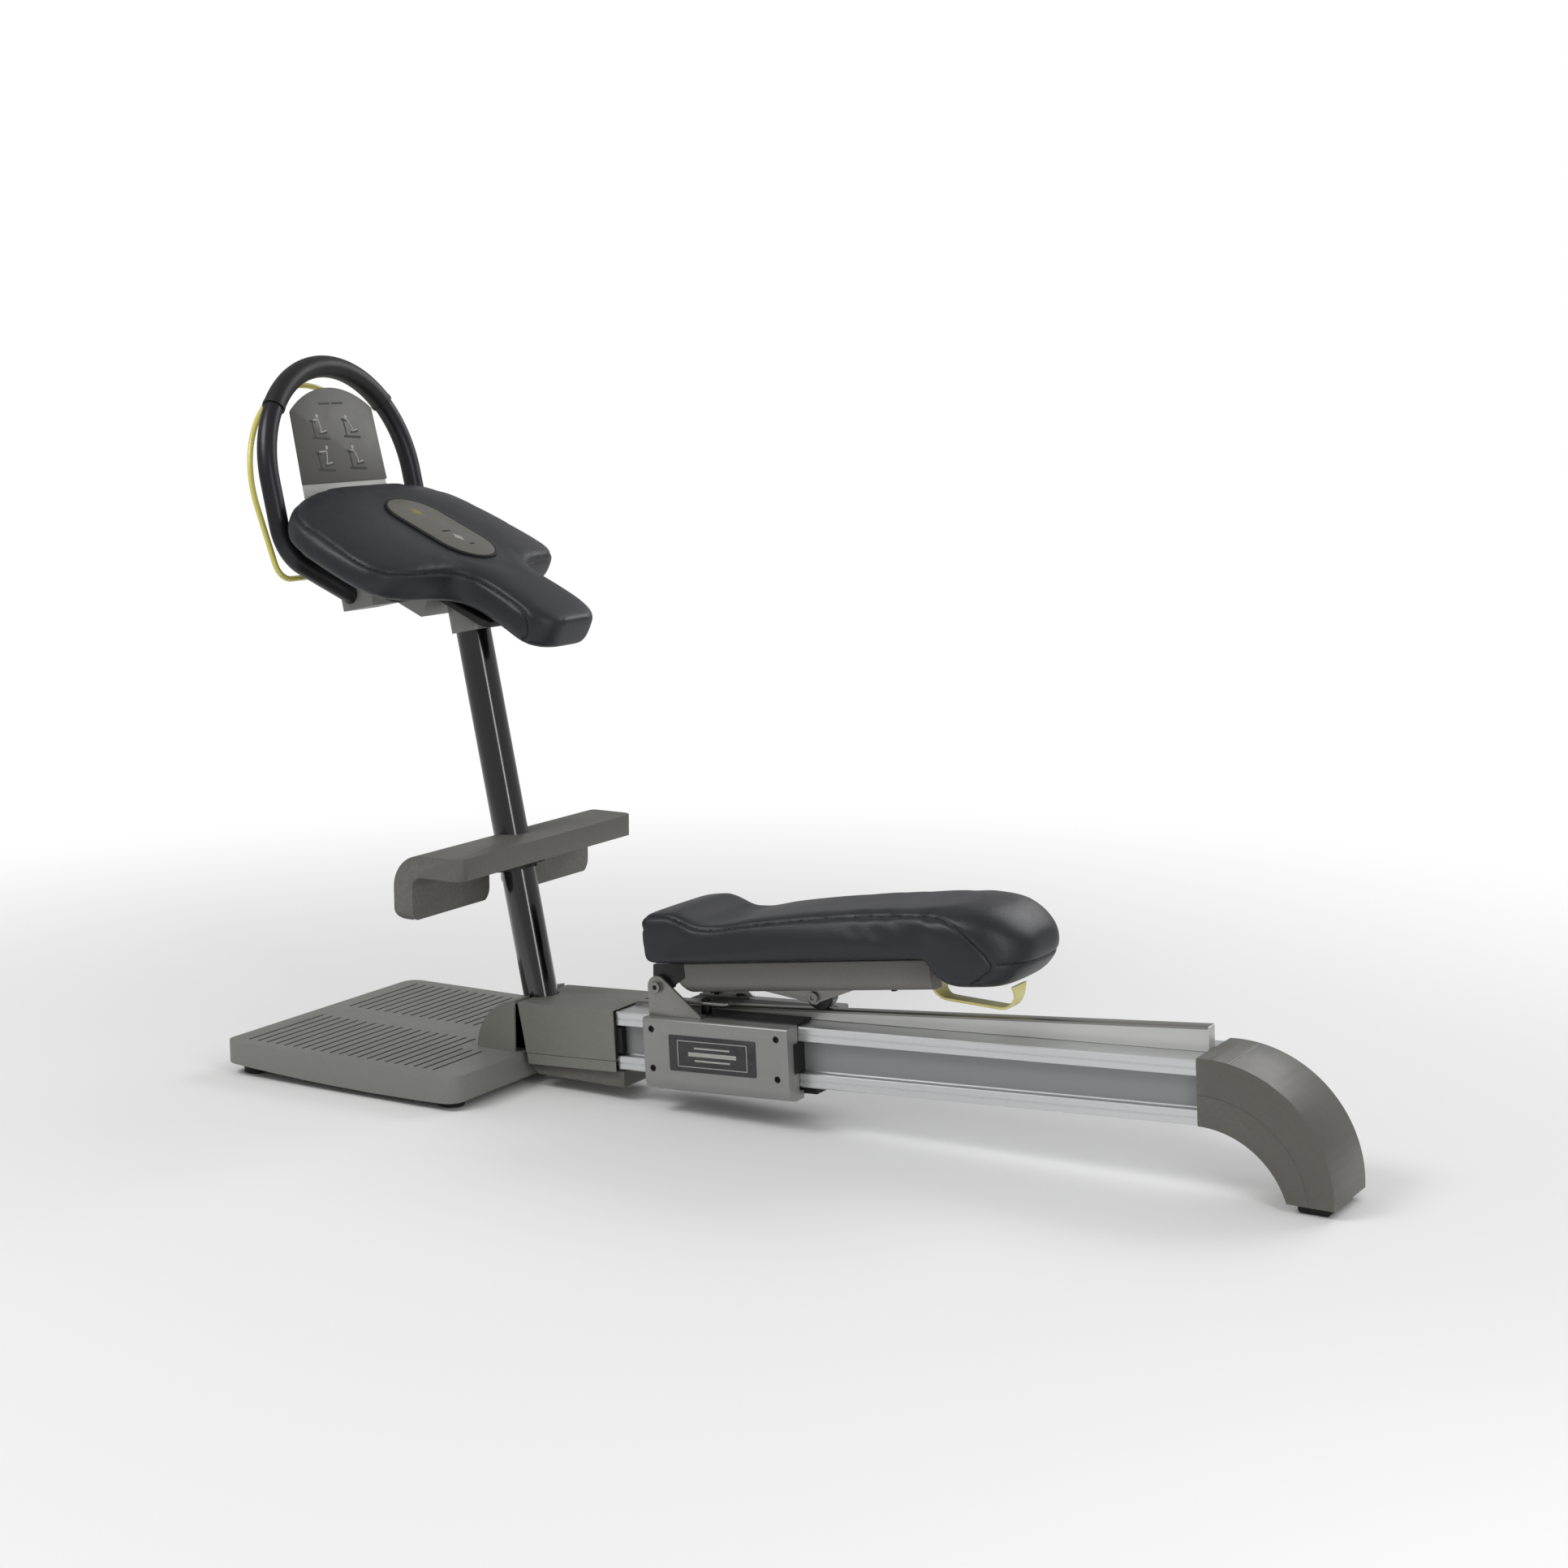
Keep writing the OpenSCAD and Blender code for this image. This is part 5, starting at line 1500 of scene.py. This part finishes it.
@dataclass
class Carriage:
    """The sliding carriage: cheeks, plates, label, screws, wheels and brackets."""

    bench: Bench
    repeats: Repeater
    start: float = 0.227
    length: float = 0.276
    cheek: float = 0.103

    def label(self, side: int) -> None:
        """The label plate on one cheek: a plain plate with a raised frame and three bars."""
        middle = self.start + 0.133
        place = RAIL @ Matrix.Translation((middle, side * self.cheek, 0.0486)) @ Matrix.Rotation(math.radians(-side * 90), 4, "X")
        name = "far" if side > 0 else "near"

        def plate(half_x: float, half_y: float, low: float, high: float, cut: float) -> Shape:
            """A plate with cut corners."""
            return slab([(-half_x, -half_y + cut), (-half_x + cut, -half_y), (half_x - cut, -half_y), (half_x, -half_y + cut),
                         (half_x, half_y - cut), (half_x - cut, half_y), (-half_x + cut, half_y), (-half_x, half_y - cut)],
                        low, high, 0.0003)

        self.bench.piece(f"label_plate_{name}", plate(0.083, 0.030, 0.0, 0.0011, 0.002).moved(place), "carriage", "label_dark",
                         "label_dark", ("label_plates",))
        frame_bars = Shape()
        for x, y, long, high in ((0, 0.0215, 0.066, 0.0007), (0, -0.0215, 0.066, 0.0007), (-0.066, 0, 0.0007, 0.0215),
                                 (0.066, 0, 0.0007, 0.0215), (0, 0, 0.046, 0.0035), (0, 0.0105, 0.034, 0.0015),
                                 (0, -0.0105, 0.034, 0.0015)):
            frame_bars.joined(plate(long, high, 0.0009, 0.0014, 0.0002).moved(place @ Matrix.Translation((x, y, 0))))
        self.bench.piece(f"label_bars_{name}", frame_bars, "carriage", "print_pale", "label_dark")

    def build(self) -> None:
        """Makes the carriage's pieces."""
        make, lay = self.bench.refined, self.repeats.lay
        for node in ("carriage_side_near", "carriage_side_far"):
            make(node, "cast_silver", 0.0022, 4)
        for side in (-1, 1):
            self.label(side)
        make("carriage_bridge", "inner_black", 0.002)
        make("carriage_top_plates", "inner_black", 0.001)
        # The black wipers at both carriage ends sit where the groove lies in shade beside the carriage; their black
        # partly stands for painted shade in the groove.
        make("groove_wipers", "rubber_black", 0.0006)
        make("brake_shoe", "rubber_black", 0.0015)
        make("wheel_axles", "zinc_plate", 0.0006)
        along = RAIL.to_3x3() @ Vector((1, 0, 0))
        spots = [(RAIL @ Vector((x, side * (self.cheek - 0.0035), z)), Vector((0, side, 0)), along) for side in (-1, 1)
                 for x in (self.start + 0.016, self.start + 0.2545) for z in (0.019, 0.085)]
        lay(self.bench, "side_screw_heads", hex_socket_screw(0.005, 0.0034), spots, "carriage", "black_oxide", "screw_black",
            ("side_screws",))
        for body, node in (("wheel_a", "wheel_front_near"), ("wheel_b", "wheel_rear_near"), ("wheel_c", "wheel_front_far"),
                           ("wheel_d", "wheel_rear_far")):
            make(node, "wheel_nylon", 0.0012)
            log.info("%s rides on %s", node, body)
        make("hinge_brackets", "zinc_plate", 0.0012)
        self.bolts()
        make("lock_lever", "zinc_plate", 0.0012)
        make("lock_pivot_bolt", "black_oxide", 0.0008)

    def bolts(self) -> None:
        """The hinge bolts: washers and nuts on the brackets, with their plain shanks."""
        self.bench.refined("hinge_bolts", "zinc_plate", 0.0006)
        out_face = 0.087 + 0.0075
        along = RAIL.to_3x3() @ Vector((1, 0, 0.4))
        spots = [(RAIL @ Vector((0.2487, side * (out_face - 0.004), 0.1534)), Vector((0, side, 0)), along) for side in (-1, 1)]
        self.repeats.lay(self.bench, "hinge_cap_rings", lathe([(0.0092, 0), (0.0095, 0.0006), (0.0095, 0.002), (0.009, 0.0026)]),
                         spots, "carriage", "black_oxide", "fastener_steel")
        base = [(RAIL @ Vector((x, side * 0.076, 0.108)), RAIL.to_3x3() @ Vector((0, 0, 1)), along) for side in (-1, 1)
                for x in (0.262, 0.306)]
        self.repeats.lay(self.bench, "bracket_base_screws", hex_socket_screw(0.0045, 0.0035), base, "carriage", "black_oxide",
                         "fastener_steel")


@dataclass
class CushionTray:
    """The tray under the cushion with its ears, roller mount and pull strap."""

    bench: Bench
    repeats: Repeater

    def build(self) -> None:
        """Makes the tray's pieces."""
        make, lay = self.bench.refined, self.repeats.lay
        make("cushion_tray", "tray_shell", 0.003, 4)
        make("hinge_ears", "black_coat", 0.0012)
        make("roller_gussets", "zinc_plate", 0.001)
        make("roller_axle", "zinc_plate", 0.0006)
        make("ramp_roller", "roller_black", 0.0015)
        make("pull_handle", "yellow_strap", 0.0015, 4)
        down, along = CUSHION.to_3x3() @ Vector((0, 0, -1)), CUSHION.to_3x3() @ Vector((1, 0, 0))
        spots = [(CUSHION @ Vector((x, y, -0.0148)), down, along) for x in (0.085, 0.425) for y in (-0.05, 0.05)]
        lay(self.bench, "tray_screws", hex_socket_screw(0.005, 0.0035), spots, "cushion", "black_oxide", "fastener_steel")
        ribs = Shape().rings([[Vector((x * s, w * s, 0.0001 if s > 0.5 else -0.001)) for x, w in
                               ((0.0012, 0.056), (-0.0012, 0.056), (-0.0012, -0.056), (0.0012, -0.056))] for s in (1.0, 0.98)])
        rib_spots = [(CUSHION @ Vector((0.105 + 0.022 * k, 0, -0.0158)), down, along) for k in range(3)]
        lay(self.bench, "tray_ribs", ribs, rib_spots, "cushion", "tray_shell", "tray_grey")


# ---------------------------------------------------------------- stage


@dataclass
class Studio:
    """Camera, floor and lights."""

    place: Point = (2.2514, -3.8615, 1.2978)
    azimuth: float = 30.41
    pitch: float = 9.77
    lens: float = 63.99
    shift: Flat = (0.0088, 0.0109)
    sky: float = 0.42
    fade_near: float = 1.0
    fade_far: float = 3.4

    def camera(self) -> None:
        """Sets the camera."""
        data = bpy.data.cameras.new("view")
        data.lens, data.sensor_width = self.lens, 36.0
        data.shift_x, data.shift_y = self.shift
        data.clip_start, data.clip_end = 0.05, 60.0
        made = bpy.data.objects.new("view", data)
        bpy.context.scene.collection.objects.link(made)
        a, p = math.radians(self.azimuth), math.radians(self.pitch)
        ahead = Vector((-math.sin(a) * math.cos(p), math.cos(a) * math.cos(p), -math.sin(p)))
        made.location = self.place
        made.rotation_euler = ahead.to_track_quat("-Z", "Y").to_euler()
        bpy.context.scene.camera = made

    @staticmethod
    def light(name: str, place: Point, target: Point, size: Flat, power: float) -> None:
        """Adds one soft box.

        Args:
            name: The light's name.
            place: Where it hangs.
            target: Where it looks.
            size: Its width and height.
            power: Its power, in watts.
        """
        data = bpy.data.lights.new(name, "AREA")
        data.shape, data.size, data.size_y, data.energy = "RECTANGLE", size[0], size[1], power
        made = bpy.data.objects.new(name, data)
        bpy.context.scene.collection.objects.link(made)
        made.location = place
        made.rotation_euler = (Vector(target) - Vector(place)).to_track_quat("-Z", "Y").to_euler()

    def fade(self, tree: bpy.types.NodeTree, shader: bpy.types.Node) -> None:
        """Lets the floor turn from pale paint round the bench to the white of the backdrop.

        Args:
            tree: The floor's shader tree.
            shader: Its Principled shader.
        """
        place = tree.nodes.new("ShaderNodeTexCoord")
        far = tree.nodes.new("ShaderNodeVectorMath")
        far.operation = "LENGTH"
        share = tree.nodes.new("ShaderNodeMapRange")
        share.interpolation_type = "SMOOTHSTEP"
        share.inputs["From Min"].default_value, share.inputs["From Max"].default_value = self.fade_near, self.fade_far
        paint = tree.nodes.new("ShaderNodeMix")
        paint.data_type = "RGBA"
        paint.inputs[6].default_value, paint.inputs[7].default_value = (0.97, 0.97, 0.97, 1), (0, 0, 0, 1)
        path, level = tree.nodes.new("ShaderNodeLightPath"), tree.nodes.new("ShaderNodeMapRange")
        level.inputs["To Min"].default_value, level.inputs["To Max"].default_value = self.sky, 1.0
        glow = tree.nodes.new("ShaderNodeMath")
        glow.operation = "MULTIPLY"
        for start, end in ((place.outputs["Object"], far.inputs[0]), (far.outputs["Value"], share.inputs["Value"]),
                           (share.outputs[0], paint.inputs["Factor"]), (paint.outputs[2], shader.inputs["Base Color"]),
                           (path.outputs["Is Camera Ray"], level.inputs["Value"]), (level.outputs[0], glow.inputs[0]),
                           (share.outputs[0], glow.inputs[1]), (glow.outputs[0], shader.inputs["Emission Strength"])):
            tree.links.new(start, end)

    def build(self) -> None:
        """Sets the whole stage."""
        self.camera()
        floor = Shape().add([Vector((x, y, -0.0005)) for x, y in ((-14, -14), (14, -14), (14, 14), (-14, 14))], [(0, 1, 2, 3)])
        mesh = bpy.data.meshes.new("floor")
        mesh.from_pydata(floor.points, [], floor.faces)
        made = bpy.data.objects.new("floor", mesh)
        bpy.context.scene.collection.objects.link(made)
        material = bpy.data.materials.new("pale_floor")
        material.use_nodes = True
        shader = material.node_tree.nodes["Principled BSDF"]
        shader.inputs["Roughness"].default_value = 0.9
        shader.inputs["Emission Color"].default_value = (1, 1, 1, 1)
        self.fade(material.node_tree, shader)
        mesh.materials.append(material)
        world = bpy.data.worlds.new("studio")
        world.use_nodes = True
        tree = world.node_tree
        soft = tree.nodes["Background"]
        soft.inputs["Color"].default_value = (1, 1, 1, 1)
        path, level = tree.nodes.new("ShaderNodeLightPath"), tree.nodes.new("ShaderNodeMapRange")
        level.inputs["To Min"].default_value, level.inputs["To Max"].default_value = self.sky, 1.0
        tree.links.new(path.outputs["Is Camera Ray"], level.inputs["Value"])
        tree.links.new(level.outputs[0], soft.inputs["Strength"])
        bpy.context.scene.world = world
        self.light("key", (-1.6, -2.6, 3.4), (0.0, 0.0, 0.3), (2.0, 1.4), 62)
        self.light("rim", (1.2, 3.0, 2.6), (0.0, 0.0, 0.5), (3.0, 1.4), 44)
        self.light("strip", (2.6, -1.6, 1.5), (0.0, 0.0, 0.5), (0.5, 2.4), 20)
        bpy.context.scene.view_settings.view_transform = "Standard"


def main() -> None:
    """Builds the bench in order."""
    Studio().build()
    bench, repeats = Bench(Palette()), Repeater()
    Platform(bench, repeats).build()
    Housing(bench).build()
    Rail(bench, repeats).build()
    RearFoot(bench).build()
    Column(bench, repeats).build()
    Head(bench).build()
    ArchHandle(bench).build()
    Placard(bench, repeats).build()
    Carriage(bench, repeats).build()
    CushionTray(bench, repeats).build()
    work = Upholstery(bench, repeats)
    ArmPad(work).build()
    ShinCushion(work).build()


if __name__ == "__main__":
    main()
